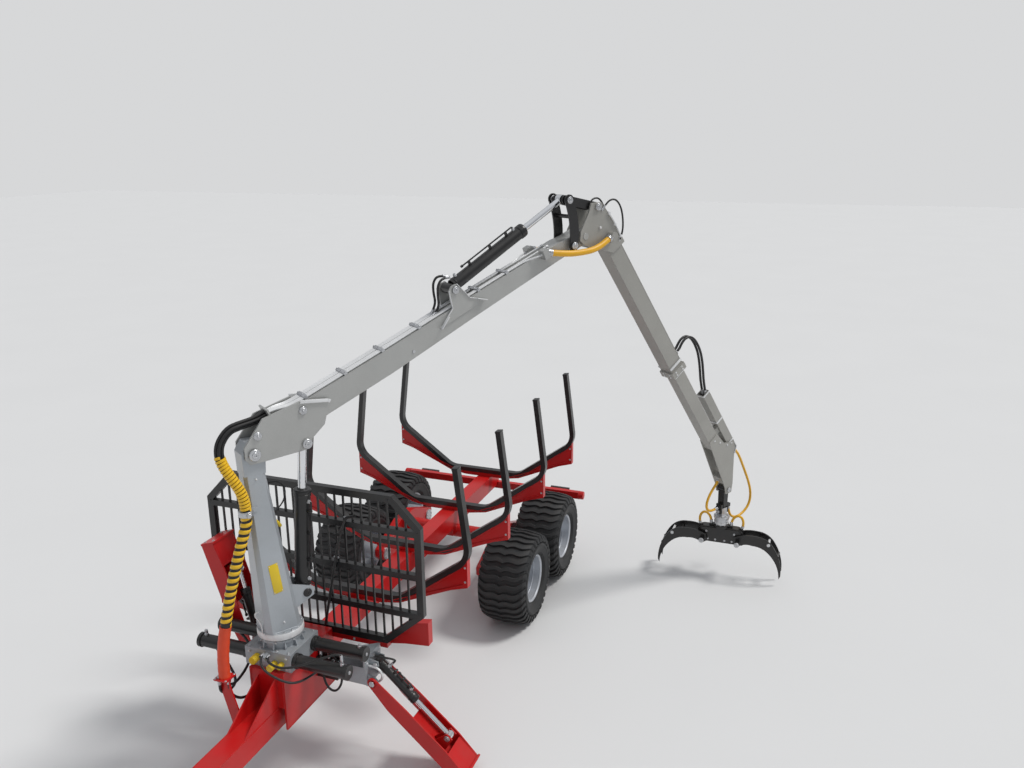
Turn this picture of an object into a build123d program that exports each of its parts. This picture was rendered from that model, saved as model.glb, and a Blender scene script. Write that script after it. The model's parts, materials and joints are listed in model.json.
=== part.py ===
from build123d import *
import os
from math import cos, hypot, pi, radians, sin, tan

os.makedirs("parts", exist_ok=True)

# Forestry trailer with a slewing timber crane. Millimetres, X forward, Y to the left, Z up.
# Everything is laid out from the pillar's axis on the ground, and moved at export so that the
# row's origin is the centre of the towing eye.
eye_ahead = 1500.0
eye_height = 550.0
crane_bearing = 147.0

# Running gear
wheel_radius = 470.0
tyre_width = 490.0
rim_radius = 235.0
lug_high = 26.0
lug_count = 18
wheel_track = 1850.0
axle_spacing = 1020.0
bogie_pin_z = 600.0
axle_bore = 45.0
pin_gap = 0.05

# Chassis
spine_rear = -4280.0
spine_half = 80.0
spine_low = 680.0
spine_top = 860.0
wall = 10.0
bogie_from_rear = 1160.0
bunk_from_rear = [3170.0, 2220.0, 1190.0, 175.0]
stake_depth = 70.0
stake_thick = 48.0
stake_foot = (430.0, 925.0)
stake_bend = (1085.0, 1400.0)
stake_top = (985.0, 2195.0)
stake_curve = 200.0

# Headboard: outline half widths and heights
board_x = -522.0
board_deep = 50.0
board_half = 970.0
board_top = 2170.0
board_top_half = 735.0
board_shoulder = 1930.0
board_hip = 1190.0
board_foot = 900.0
board_foot_half = 640.0
board_rails = [1880.0, 1520.0, 1190.0]
board_bar = 14.0
board_pitch = 76.0

# Outriggers
box_z = 750.0
box_wide = 110.0
box_high = 170.0
box_half = 335.0
slide_gap = 0.3
leg_x = -315.0
leg_wide = 250.0
leg_pin_z = 720.0
leg_pin_r = 18.0
leg_down = 42.0
leg_up = 72.0
beam_reach = {"left": 580.0, "right": 392.0}

# Crane: pins on the pillar as distance from its axis and height, the others along and above each boom
boom_pin = (-110.0, 2630.0)
lift_foot = (200.0, 1451.0)
boom_long = 3293.7
boom_slope = 23.04
lift_eye_on_boom = (360.0, -155.3)
fold_foot_on_boom = (1944.7, 231.4)
rocker_foot_on_boom = (3137.2, -5.2)
rocker_long = 386.5
rocker_slope = 98.8
outer_slope = -55.0
tube_above = 225.0
head_eye_on_outer = (-122.8, 248.3)
tube_end = 1900.0
reach_end = 3010.0
tip_beyond = (583.6, 95.1)
tip_drop = 260.0
jaw_bearing = 90.0


def ahead(p, q, along, up=0.0):
    d = hypot(q[0] - p[0], q[1] - p[1])
    c = (q[0] - p[0]) / d
    s = (q[1] - p[1]) / d
    return (p[0] + c * along - s * up, p[1] + s * along + c * up)


def towards(p, slope, along):
    return (p[0] + cos(radians(slope)) * along, p[1] + sin(radians(slope)) * along)


def beside(p, steps):
    return [(p[0] + x, p[1] + z) for x, z in steps]


knuckle = towards(boom_pin, boom_slope, boom_long)


def on_boom(along, up):
    return ahead(boom_pin, knuckle, along, up)


def on_outer(along, up):
    return ahead(knuckle, towards(knuckle, outer_slope, 1000.0), along, up)


lift_eye = on_boom(*lift_eye_on_boom)
fold_foot = on_boom(*fold_foot_on_boom)
rocker_foot = on_boom(*rocker_foot_on_boom)
rocker_top = towards(rocker_foot, rocker_slope, rocker_long)
head_eye = on_outer(*head_eye_on_outer)
tip_pin = on_outer(reach_end + tip_beyond[0], tip_beyond[1])
cross_pin_z = tip_pin[1] - tip_drop
bogie_x = spine_rear + bogie_from_rear
bunk_x = [spine_rear + d for d in bunk_from_rear]


def block(x0, x1, y0, y1, z0, z1):
    return Pos((x0 + x1) / 2, (y0 + y1) / 2, (z0 + z1) / 2) * Box(x1 - x0, y1 - y0, z1 - z0)


def plate(points, y0, y1, r=0.0):
    face = Polygon(*points, align=None)
    if r > 0:
        face = fillet(face.vertices(), r)
    return Pos(0, y1, 0) * Rot(90, 0, 0) * extrude(face, y1 - y0, dir=(0, 0, 1))


def curved_plate(edges, y0, y1):
    lines = [ThreePointArc(*e) if len(e) == 3 else Line(*e) for e in edges]
    return Pos(0, y1, 0) * Rot(90, 0, 0) * extrude(make_face(lines), y1 - y0, dir=(0, 0, 1))


def slab(points, x0, x1, r=0.0):
    face = Polygon(*points, align=None)
    if r > 0:
        face = fillet(face.vertices(), r)
    return extrude(Plane.YZ.offset(x0) * face, x1 - x0, dir=(1, 0, 0))


def disc(x, z, r, y0, y1):
    return Pos(x, (y0 + y1) / 2, z) * Rot(90, 0, 0) * Cylinder(r, y1 - y0)


def rod(p, q, r):
    a = Vector(*p)
    b = Vector(*q)
    across = Plane(origin=a, z_dir=b - a)
    return across * Cylinder(r, (b - a).length, align=(Align.CENTER, Align.CENTER, Align.MIN))


def both(make, inner, outer):
    return make(inner, outer) + make(-outer, -inner)


def beam(p, q, stations):
    top = [ahead(p, q, s, h1) for s, h0, h1 in stations]
    low = [ahead(p, q, s, h0) for s, h0, h1 in stations]
    return low + top[::-1]


def bent_rod(points, r, bend):
    path = FilletPolyline(*points, radius=bend)
    return sweep(Plane(origin=path @ 0, z_dir=path % 0) * Circle(r), path=path)


def link(p, q, r, y0, y1, bow=0.0):
    d = hypot(q[0] - p[0], q[1] - p[1])
    low = [ahead(p, q, 0, -r), ahead(p, q, d / 2, bow - r), ahead(p, q, d, -r)]
    top = [ahead(p, q, d, r), ahead(p, q, d / 2, bow + r), ahead(p, q, 0, r)]
    if bow == 0:
        body = plate([low[0], low[2], top[0], top[2]], y0, y1)
    else:
        body = curved_plate([low, (low[2], top[0]), top, (top[2], low[0])], y0, y1)
    return body + disc(p[0], p[1], r, y0, y1) + disc(q[0], q[1], r, y0, y1)


def at(p, y):
    return (p[0], y, p[1])


def hose(label, points, r):
    corners = [Vector(*p) for p in points]
    radii = []
    for a, b, c in zip(corners, corners[1:], corners[2:]):
        half_turn = radians((b - a).get_angle(c - b) / 2)
        radii.append(0.45 * min((b - a).length, (c - b).length) / tan(half_turn))
    path = FilletPolyline(*corners, radius=radii)
    tube = sweep(Plane(origin=path @ 0, z_dir=path % 0) * Circle(r), path=path)
    share = tube.volume / (pi * r * r * path.length)
    print(label, "length", round(path.length), "tightest", round(min(radii)), "volume share", round(share, 4))
    return tube


nodes = {}


def keep(name, shape):
    nodes[name] = shape


def crane(name, shape):
    nodes[name] = Rot(0, 0, crane_bearing) * shape


# Chassis: drawbar and pedestal, load beam with the bogie's cross axle
pedestal_rear = -455.0
pedestal_front = 220.0
pedestal_half = 150.0
pedestal_top = 950.0
drawbar_low = 470.0
drawbar_top = 650.0
drawbar_half = 85.0
flange_gap = 150.0
flank_t = 16.0
cover_t = 12.0
drawbar_front = eye_ahead - flange_gap
drawbar = block(pedestal_rear, drawbar_front, -drawbar_half, drawbar_half, drawbar_low, drawbar_top)
drawbar -= block(pedestal_rear - 1, drawbar_front - 30, wall - drawbar_half, drawbar_half - wall,
                 drawbar_low + wall, drawbar_top - wall)
for side in (-1, 1):
    y0, y1 = sorted((side * (pedestal_half - flank_t), side * pedestal_half))
    drawbar += block(pedestal_rear, pedestal_front, y0, y1, drawbar_low, pedestal_top)
    y0 = side * (drawbar_half - 7) - cover_t / 2
    drawbar += plate([(pedestal_front, drawbar_top), (pedestal_front + 400, drawbar_top),
                      (pedestal_front, pedestal_top - 50)], y0, y0 + cover_t)
drawbar += block(pedestal_rear, pedestal_front, -pedestal_half, pedestal_half, pedestal_top - flank_t, pedestal_top)
drawbar += block(pedestal_rear, pedestal_rear + cover_t, -pedestal_half, pedestal_half, drawbar_low, pedestal_top)
drawbar += block(pedestal_front - cover_t, pedestal_front, -pedestal_half, pedestal_half, drawbar_top, pedestal_top)
drawbar -= block(leg_x - box_wide, leg_x + box_wide, -400, 400, box_z - box_high / 2, box_z + box_high / 2)

# Hose bracket on the drawbar, right of the crane
bracket_x = 427.0
bracket_y = -206.0
bracket_z = 985.0
bracket_t = 12.0
foot_y = -drawbar_half
drawbar += slab([(foot_y, drawbar_low + 30), (foot_y, drawbar_top - 10), (bracket_y + 40, bracket_z - 60),
                 (bracket_y + 56, bracket_z), (bracket_y - 56, bracket_z), (bracket_y - 56, bracket_z - 40),
                 (foot_y - 60, drawbar_low + 30)], bracket_x - bracket_t / 2, bracket_x + bracket_t / 2)
drawbar += block(bracket_x - 56, bracket_x + 56, bracket_y - 56, bracket_y + 56, bracket_z - bracket_t, bracket_z)

spine = block(spine_rear, pedestal_rear, -spine_half, spine_half, spine_low, spine_top)
spine -= block(spine_rear - 1, pedestal_rear - 12, wall - spine_half, spine_half - wall,
               spine_low + wall, spine_top - wall)
beam_wide = 90.0
side_gap = 6.0
hub_gap = 8.0
collar_wide = 16.0
axle_half = wheel_track / 2 - tyre_width / 2 - 150
beam_in = axle_half + side_gap
beam_out = beam_in + beam_wide
spine += rod((bogie_x, -axle_half, bogie_pin_z), (bogie_x, axle_half, bogie_pin_z), 70)
spine += block(bogie_x - 150, bogie_x + 150, -spine_half, spine_half, bogie_pin_z, spine_low + 2)
for side in (-1, 1):
    end = side * (beam_out + side_gap + collar_wide)
    spine += rod((bogie_x, side * (axle_half - 5), bogie_pin_z), (bogie_x, end, bogie_pin_z), axle_bore)
    spine += rod((bogie_x, side * (beam_out + side_gap), bogie_pin_z), (bogie_x, end, bogie_pin_z), axle_bore + 20)
keep("spine", spine)

# Towing eye with a vertical bore
eye = Pos(eye_ahead, 0, eye_height) * Cylinder(60, 36)
eye += block(drawbar_front, eye_ahead - 40, -38, 38, eye_height - 18, eye_height + 18)
eye += block(drawbar_front, drawbar_front + 24, -80, 80, drawbar_low + 10, drawbar_top - 10)
eye -= Pos(eye_ahead, 0, eye_height) * Cylinder(25, 60)
keep("towing_eye", eye)

# Stake hoops and the red bunks below them, whose wings reach up beside the stakes
wing_y = 1075.0
wing_low = 1150.0
wing_top = 1395.0
room_top = wing_top + 150
for i, x in enumerate(bunk_x):
    right = [(-stake_top[0], stake_top[1]), (-stake_bend[0], stake_bend[1]), (-stake_foot[0], stake_foot[1])]
    left = [(-p[0], p[1]) for p in right[::-1]]
    path = FilletPolyline(*[(x, y, z) for y, z in right + left], radius=stake_curve)
    start = Plane(origin=path @ 0, x_dir=(1, 0, 0), z_dir=path % 0)
    keep(f"stakes_{i + 1}", sweep(start * Rectangle(stake_depth, stake_thick), path=path))
    half = [(0, spine_top), (250, spine_top), (stake_foot[0], spine_top + 30), (wing_y - 150, wing_low - 45),
            (wing_y, wing_low), (wing_y, wing_top), (0, wing_top)]
    outline = half + [(-y, z) for y, z in half[::-1]][1:-1]
    bunk = slab(outline, x - 30, x + 30)
    up = [(0, stake_foot[1]), stake_foot, stake_bend, (stake_bend[0], room_top), (0, room_top)]
    up = [(y, z + 4) for y, z in up]
    room = up + [(-y, z) for y, z in up[::-1]][1:-1]
    bunk -= slab(room, x - 60, x + 60)
    bunk -= sweep(start * Rectangle(stake_depth + 10, stake_thick), path=path)
    keep(f"bunk_{i + 1}", sorted(bunk.solids(), key=lambda s: s.volume)[-1])

# Headboard of flat bar in an eight-sided frame, with a slim rod and its handle in front
rim = 55.0
bar_in = 18.0
outline = [(board_foot_half, board_foot), (board_half, board_hip), (board_half, board_shoulder),
           (board_top_half, board_top)]
outline = outline + [(-y, z) for y, z in outline[::-1]]
inner = [(board_foot_half - 22, board_foot + rim), (board_half - rim, board_hip + 12),
         (board_half - rim, board_shoulder - 22), (board_top_half - 22, board_top - rim)]
inner = inner + [(-y, z) for y, z in inner[::-1]]
board_front = board_x + board_deep
board = slab(outline, board_x, board_front) - slab(inner, board_x - 1, board_front + 1)
for z in board_rails:
    board += block(board_x, board_front, rim / 2 - board_half, board_half - rim / 2, z - 24, z + 24)
n = int((board_half - rim) / board_pitch)
for k in range(-n, n + 1):
    y = k * board_pitch
    drop = max(0.0, abs(y) - board_top_half + 30)
    lift = max(0.0, abs(y) - board_foot_half + 30)
    z0 = board_foot + 20 + lift * (board_hip - board_foot) / (board_half - board_foot_half)
    z1 = board_top - 20 - drop * (board_top - board_shoulder) / (board_half - board_top_half)
    board += block(board_x + bar_in, board_x + bar_in + board_bar, y - board_bar / 2, y + board_bar / 2, z0, z1)
rod_r = 11.0
rod_x = board_front + rod_r - 1
rod_line = [(88, pedestal_top + 15), (133, 1172), (227, 1584), (278, 1789), (341, 1941), (422, 1970)]
board += bent_rod([(rod_x, y, z) for y, z in rod_line], rod_r, 30)
handle_y, handle_z = rod_line[3]
board += rod((rod_x, handle_y - 55, handle_z - 8), (rod_x, handle_y + 55, handle_z + 8), rod_r)
keep("headboard", board)
foot_top = spine_top + 40
foot_half = board_foot_half
foot_deep = 70.0
ear_y = board_half + 10
ear_low = board_foot + 20
ear_high = board_hip - 70
bunk_0 = block(board_x - foot_deep, board_front, -foot_half, foot_half, spine_top, foot_top)
for side in (-1, 1):
    bunk_0 += slab([(side * (foot_half - 80), spine_top), (side * (ear_y - 200), ear_low - 20), (side * ear_y, ear_low),
                    (side * ear_y, ear_high), (side * (ear_y - 170), ear_high - 30), (side * foot_half, foot_top),
                    (side * (foot_half - 80), foot_top)], board_x - foot_deep, board_x)
keep("headboard_foot", bunk_0)

# Slew housing with its ribs and cylinders
housing_top = 1165.0
block_top = 1095.0
housing_r = 165.0
shaft_r = 68.0
rib_t = 12.0
housing = block(-185, 185, -200, 200, pedestal_top, block_top)
housing += Pos(0, 0, (block_top + housing_top) / 2) * Cylinder(housing_r - 15, housing_top - block_top)
housing += Pos(0, 0, housing_top - 10) * Cylinder(housing_r, 20)
rib = plate([(housing_r - 20, block_top - 2), (housing_r + 12, block_top - 2), (housing_r + 12, block_top + 12),
             (housing_r - 4, housing_top - 18), (housing_r - 20, housing_top - 18)], -rib_t / 2, rib_t / 2)
for k in range(12):
    housing += Rot(0, 0, 15 + 30 * k) * rib
for side in (-1, 1):
    housing += plate([(side * 140, 1040), (side * 240, 1040), (side * 240, 1070), (side * 140, 1090)], -12, 12)
housing -= Pos(0, 0, housing_top - 120) * Cylinder(shaft_r + pin_gap, 240)
slew_z = 1020.0
slew_end = 655.0
slew_r = 50.0
for name, x in (("front", 125), ("rear", -125)):
    pair = rod((x, -slew_end, slew_z), (x, slew_end, slew_z), slew_r)
    for side in (-1, 1):
        pair += rod((x, side * (slew_end - 26), slew_z), (x, side * slew_end, slew_z), slew_r + 7)
        pair += rod((x, side * 200, slew_z), (x, side * 232, slew_z), slew_r + 7)
    housing -= pair
    keep(f"slew_cylinder_{name}", pair)
keep("slew_housing", housing)

# Outrigger boxes with the extension cylinders on top, sliding beams, legs, leg cylinders
ram_z = box_z + box_high / 2 + 36
ram_barrel_r = 28.0
ram_rod_r = 14.0
ram_in = 60.0
ram_out = 345.0
box_rows = {"left": (leg_x + box_wide / 2, 1), "right": (leg_x - box_wide / 2, -1)}
boxes = None
for name, (x, side) in box_rows.items():
    outer_box = block(x - box_wide / 2, x + box_wide / 2, -box_half, box_half, box_z - box_high / 2,
                      box_z + box_high / 2)
    outer_box -= block(x - box_wide / 2 + wall, x + box_wide / 2 - wall, -box_half - 1, box_half + 1,
                       box_z - box_high / 2 + wall, box_z + box_high / 2 - wall)
    outer_box += rod((x, side * ram_in, ram_z), (x, side * ram_out, ram_z), ram_barrel_r)
    for y in (side * (ram_in + 40), side * (box_half - 40)):
        outer_box += block(x - 20, x + 20, y - 15, y + 15, box_z + box_high / 2 - 2, ram_z)
    outer_box -= rod((x, side * (ram_in + 20), ram_z), (x, side * (ram_out + 1), ram_z), ram_rod_r + pin_gap)
    boxes = outer_box if boxes is None else boxes + outer_box
    drawbar -= rod((x, side * (ram_in - 1), ram_z), (x, side * (ram_out + 1), ram_z), ram_barrel_r)
keep("outrigger_box", boxes)
keep("drawbar", drawbar)

beam_rows = {"left": (1, -leg_down), "right": (-1, leg_up)}
half_w = box_wide / 2 - wall - slide_gap
half_h = box_high / 2 - wall - slide_gap
beam_long = 620.0
flange_t = 14.0
gusset_t = 10.0
flange_top = ram_z + ram_barrel_r + 6 + gusset_t
leg_half = leg_wide / 2
cheek_t = 12.0
hinge_out = 70.0
head_rise = 125.0
sole_t = 16.0
sole_low = 70.0
ear_x = 84.0
head_x = 50.0
ram_lug = (700.0, 88.0)
ram_barrel = 410.0
ram_long = 500.0
leg_long = (leg_pin_z - sole_low * cos(radians(leg_down))) / sin(radians(leg_down)) - sole_t
leg_side = [(0, -42), (230, -75), (leg_long, -70), (leg_long, 45), (760, 66), (330, 60), (0, 42)]
for name, (side, tilt) in beam_rows.items():
    x = box_rows[name][0]
    reach = beam_reach[name]
    y_out = side * reach
    lo, hi = sorted((side * (reach - beam_long), y_out))
    shape = block(x - half_w, x + half_w, lo, hi, box_z - half_h, box_z + half_h)
    y0, y1 = sorted((y_out, y_out + side * flange_t))
    flange = Polygon((-leg_half, flange_top), (-leg_half, flange_top - 70), (-95, leg_pin_z - 55),
                     (95, leg_pin_z - 55), (leg_half, flange_top - 70), (leg_half, flange_top), align=None)
    shape += Pos(leg_x, y1, 0) * Rot(90, 0, 0) * extrude(flange, flange_t, dir=(0, 0, 1))
    gusset = Polygon((x - half_w - leg_x, y_out - side * 190), (x + half_w - leg_x, y_out - side * 190),
                     (leg_half, y_out), (-leg_half, y_out), align=None)
    shape += Pos(leg_x, 0, flange_top - gusset_t) * extrude(gusset, gusset_t, dir=(0, 0, 1))
    shape += rod((x, side * (reach - 300), ram_z), (x, y_out + side, ram_z), ram_rod_r)
    pin_y = side * (reach + hinge_out)
    head_z = leg_pin_z + head_rise
    ear = [(y_out, leg_pin_z - 50), (pin_y, leg_pin_z - 34), (pin_y + side * 34, leg_pin_z),
           (pin_y, leg_pin_z + 34), (y_out, leg_pin_z + 50)]
    high = [(y_out, head_z + 40), (pin_y + side * 20, head_z + 26), (pin_y + side * 26, head_z - 14),
            (y_out, head_z - 60)]
    for sx in (-1, 1):
        shape += slab(ear, leg_x + sx * ear_x - 7, leg_x + sx * ear_x + 7)
        shape += slab(high, leg_x + sx * head_x - 6, leg_x + sx * head_x + 6)
        x0, x1 = sorted((leg_x + sx * (ear_x - 6), leg_x + sx * (leg_half + 8)))
        shape += rod((x0, pin_y, leg_pin_z), (x1, pin_y, leg_pin_z), leg_pin_r)
    shape += rod((leg_x - head_x - 12, pin_y, head_z), (leg_x + head_x + 12, pin_y, head_z), 14)
    keep(f"beam_{name}", shape)

    def leg_point(along, up):
        c = cos(radians(tilt))
        s = sin(radians(tilt))
        return (pin_y + side * (c * along - s * up), leg_pin_z + s * along + c * up)

    leg = None
    for sx in (-1, 1):
        web = [leg_point(*p) for p in leg_side]
        x0, x1 = sorted((leg_x + sx * (leg_half - cheek_t), leg_x + sx * leg_half))
        cheek = slab(web, x0, x1) + rod((x0, pin_y, leg_pin_z), (x1, pin_y, leg_pin_z), 42)
        cheek -= rod((x0 - 1, pin_y, leg_pin_z), (x1 + 1, pin_y, leg_pin_z), leg_pin_r + pin_gap)
        leg = cheek if leg is None else leg + cheek
        lug = [(ram_lug[0] - 60, -60), (ram_lug[0] + 70, -60), (ram_lug[0] + 35, ram_lug[1] + 28),
               (ram_lug[0] - 28, ram_lug[1] + 28)]
        leg += slab([leg_point(*p) for p in lug], leg_x + sx * 38 - 6, leg_x + sx * 38 + 6)
    pad = [(420, -72), (leg_long, -70), (leg_long, -58), (420, -60)]
    top = [(780, 40), (leg_long, 33), (leg_long, 45), (780, 52)]
    sole = [(leg_long, -sole_low), (leg_long + sole_t, -sole_low), (leg_long + sole_t, 60), (leg_long, 60)]
    for strip, wide in ((pad, leg_half - 1), (top, leg_half - 1), (sole, leg_half + 5)):
        leg += slab([leg_point(*p) for p in strip], leg_x - wide, leg_x + wide)
    keep(f"leg_{name}", leg)
    ram_y, lug_z = leg_point(*ram_lug)
    start = Vector(leg_x, pin_y, head_z)
    end = Vector(leg_x, ram_y, lug_z)
    way = (end - start).normalized()
    barrel = rod(start + way * 20, start + way * ram_barrel, 36)
    barrel += rod((leg_x - 40, pin_y, head_z), (leg_x + 40, pin_y, head_z), 34)
    barrel -= rod((leg_x - 70, pin_y, head_z), (leg_x + 70, pin_y, head_z), 14 + pin_gap)
    barrel -= rod(start + way * 50, start + way * (ram_barrel + 10), 20 + pin_gap)
    keep(f"leg_barrel_{name}", barrel)
    ram = rod(end - way * ram_long, end, 20) + rod((leg_x - 28, ram_y, lug_z), (leg_x + 28, ram_y, lug_z), 30)
    keep(f"leg_rod_{name}", ram)

# Bogies and wheels; the tread is two rows of slanted lugs that meet in a chevron
half = tyre_width / 2
tread_r = wheel_radius - lug_high
section = Polyline((rim_radius, -half + 50), (rim_radius + 22, -half + 18), (rim_radius + 110, -half),
                   (tread_r - 25, 6 - half), (tread_r - 3, 42 - half), (tread_r - 3, half - 42),
                   (tread_r - 25, half - 6), (rim_radius + 110, half), (rim_radius + 22, half - 18),
                   (rim_radius, half - 50), close=True)
tyre = revolve(make_face(section), Axis.Y)
lug_slant = 24.0
lug_root = Polygon((-27, tread_r - 30), (27, tread_r - 30), (19, wheel_radius + 5), (-19, wheel_radius + 5), align=None)
tread = Rot(90, 0, 0) * Cylinder(wheel_radius, tyre_width - 12)
lugs = []
for row in (-1, 1):
    lug = extrude(Plane.XZ * lug_root, tyre_width, dir=(0, row, 0))
    y0, y1 = sorted((0, -row * tyre_width))
    lug = (Rot(0, 0, -row * lug_slant) * lug & tread) - block(-300, 300, y0, y1, 0, 2 * wheel_radius)
    lugs += [Rot(0, 360 / lug_count * (k + 0.25 * row), 0) * lug for k in range(lug_count)]
tyre += lugs
hub_in = beam_out + hub_gap - wheel_track / 2
dish = Polyline((axle_bore + pin_gap, hub_in), (95, hub_in), (95, -62), (rim_radius - 16, -20),
                (rim_radius - 16, 62 - half), (rim_radius, 50 - half), (rim_radius, half - 50),
                (rim_radius - 14, half - 54), (rim_radius - 16, 0), (100, -42), (62, 20), (0, 20),
                (0, -20), (axle_bore + pin_gap, -20), close=True)
wheel = revolve(make_face(dish), Axis.Y)
for name, side in (("left", 1), ("right", -1)):
    y0, y1 = sorted((side * beam_in, side * beam_out))
    front = (bogie_x + axle_spacing / 2, wheel_radius)
    rear = (bogie_x - axle_spacing / 2, wheel_radius)
    crown = bogie_pin_z + 100
    arm = plate([(rear[0] - 20, rear[1] - 85), (front[0] + 20, front[1] - 85), (front[0] + 85, front[1] - 20),
                 (front[0] + 85, front[1] + 60), (bogie_x + 160, crown), (bogie_x - 160, crown),
                 (rear[0] - 85, rear[1] + 60), (rear[0] - 85, rear[1] - 20)], y0, y1, 18)
    for x, z in (front, rear):
        arm += rod((x, side * (beam_out - 5), z), (x, side * (wheel_track / 2 - 20), z), axle_bore)
    arm -= disc(bogie_x, bogie_pin_z, axle_bore + pin_gap, y0 - 1, y1 + 1)
    keep(f"bogie_{name}", arm)
    for end, (x, z) in (("front", front), ("rear", rear)):
        keep(f"tyre_{end}_{name}", Pos(x, side * wheel_track / 2, z) * tyre)
        keep(f"rim_{end}_{name}", Pos(x, side * wheel_track / 2, z) * (wheel if side > 0 else mirror(wheel, Plane.XZ)))

# Rear light bar
bar_half = 1100.0
bar_low = 640.0
bar_top = 720.0
bar_mid = (bar_low + bar_top) / 2
light_bar = block(spine_rear - 60, spine_rear, -bar_half, bar_half, bar_low, bar_top)
for side in (-1, 1):
    light_bar += rod((spine_rear - 30, side * (bar_half - 5), bar_mid), (spine_rear - 30, side * (bar_half + 50), bar_mid),
                     48)
light_bar += block(spine_rear - 60, spine_rear, -spine_half, spine_half, bar_top, spine_top)
keep("rear_bar", light_bar)
for name, side in (("left", 1), ("right", -1)):
    y = side * (bar_half - 250)
    keep(f"lamp_{name}", block(spine_rear - 95, spine_rear - 60, y - 110, y + 110, bar_low, bar_top))

# Pillar
ring_low = housing_top + 6
foot_z = 1225.0
neck_z = boom_pin[1] - 160
pillar = Pos(0, 0, (ring_low + foot_z) / 2) * Cylinder(170, foot_z - ring_low)
pillar += Pos(0, 0, (1010 + foot_z) / 2) * Cylinder(shaft_r, foot_z - 1010)


def octagon(r0, r1, half_wide, cut, z):
    pts = [(r0 + cut, -half_wide), (r1 - cut, -half_wide), (r1, cut - half_wide), (r1, half_wide - cut),
           (r1 - cut, half_wide), (r0 + cut, half_wide), (r0, half_wide - cut), (r0, cut - half_wide)]
    return Plane.XY.offset(z) * Polygon(*pts, align=None)


pillar += loft([octagon(-150, 128, 130, 40, foot_z), octagon(-188, -30, 68, 22, neck_z)])
neck = beside(boom_pin, [(-78, -160), (80, -160), (88, 10), (50, 85), (-40, 85), (-85, 10)])
pillar += plate(neck, -68, 68)
bracket = [(60, lift_foot[1] - 116), (lift_foot[0], lift_foot[1] - 56), (lift_foot[0] + 52, lift_foot[1] - 31),
           (lift_foot[0] + 52, lift_foot[1] + 29), (lift_foot[0] + 15, lift_foot[1] + 51), (70, lift_foot[1] + 109)]
pillar += both(lambda a, b: plate(bracket, a, b), 68, 84)
pillar += disc(lift_foot[0], lift_foot[1], 25, -84, 84)
pillar += rod(at(boom_pin, -104), at(boom_pin, 104), 32)

# Hose bundle up the pillar: a clamp on the pillar parts the lower run from the one over the boom's heel
bundle_r = 40.0
clamp_z = 2224.0
clamp_at = (-214.0, -110.0)
clamp_high = 36.0
clamp_low = clamp_z - clamp_high / 2
clamp_top = clamp_z + clamp_high / 2
pillar += Pos(clamp_at[0], clamp_at[1], clamp_z) * Cylinder(bundle_r + 8, clamp_high)
pillar += block(clamp_at[0], -120, clamp_at[1] + 20, -40, clamp_low, clamp_top)
crane("pillar", pillar)
lower_route = [(-470, -60, bracket_z), (-470, -60, 1090), (-458, -66, 1235), (-428, -77, 1400), (-392, -88, 1575),
               (-345, -97, 1750), (-292, -103, 1925), (-243, -108, 2070), (*clamp_at, 2150), (*clamp_at, clamp_low)]
crane("hoses_pillar", hose("pillar hoses", lower_route, bundle_r))
over_heel = [(-52, 224), (24, 210), (98, 190), (162, 176), (226, 176)]
upper_route = [(*clamp_at, clamp_top), (*clamp_at, 2300), (-230, -94, 2385), (-270, -62, 2475), (-310, -30, 2560),
               (-332, -10, 2650), (-314, 0, 2735)] + [at(on_boom(*p), 0) for p in over_heel]
heel_hose_r = bundle_r - 4
crane("hoses_heel", hose("heel hoses", upper_route, heel_hose_r))

# Main boom
boom_half = 75.0
boom_wall = 10.0
boom_stations = [(210, 20, 128), (300, -52, 132), (620, -60, 128), (1200, -72, 112), (2000, -60, 104),
                 (boom_long - 260, -55, 80), (boom_long - 110, -50, 60)]
hollow_stations = [(s + (20 if s < 250 else -20 if s > 3000 else 0), low + boom_wall, top - boom_wall)
                   for s, low, top in boom_stations[:-1]]
boom = plate(beam(boom_pin, knuckle, boom_stations), -boom_half, boom_half)
boom -= plate(beam(boom_pin, knuckle, hollow_stations), boom_wall - boom_half, boom_half - boom_wall)
heel = beside(boom_pin, [(-65, -30), (-30, -70), (90, -65), (360, -50), (428, -30), (440, 30), (540, 115), (590, 285),
                         (570, 295), (360, 320), (80, 245), (-65, 60)])
heel_t = 16.0
boom += both(lambda a, b: plate(heel, a, b, 10), boom_half, boom_half + heel_t)
boom += link(on_boom(boom_long - 200, 0), knuckle, 66, -70, 70)
fold_x, fold_up = fold_foot_on_boom
ears = [on_boom(fold_x - 245, 20), on_boom(fold_x - 85, 110), on_boom(fold_x - 55, fold_up + 20),
        on_boom(fold_x - 20, fold_up + 44), on_boom(fold_x + 30, fold_up + 38), on_boom(fold_x + 95, 110),
        on_boom(fold_x + 225, 20)]
boom += both(lambda a, b: plate(ears, a, b, 12), boom_half, boom_half + 12)
boom -= rod(at(boom_pin, -120), at(boom_pin, 120), 32 + pin_gap)
boom += rod(at(fold_foot, -96), at(fold_foot, 96), 22)
boom += both(lambda a, b: disc(rocker_foot[0], rocker_foot[1], 24, a, b), 65, 122)
boom += rod(at(knuckle, -98), at(knuckle, 98), 28)
boom += both(lambda a, b: disc(lift_eye[0], lift_eye[1], 36, a, b), 91, 101)
heel_stop, heel_up = over_heel[-1]
boom += plate([on_boom(heel_stop, 120), on_boom(heel_stop + 14, 120), on_boom(heel_stop + 14, heel_up + 50),
               on_boom(heel_stop, heel_up + 50)], -boom_half - 1, boom_half + 1)
knuckle_hose_r = 26.0
knuckle_steps = [(-441, 108, -97), (-321, 135, -113), (-201, 150, -123), (-71, 152, -121), (39, 150, -111),
                 (139, 142, -81), (209, 132, -47), (274, 125, -17)]
knuckle_route = [(knuckle[0] + x, w, knuckle[1] + z) for x, w, z in knuckle_steps]
knuckle_hoses = None
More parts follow.
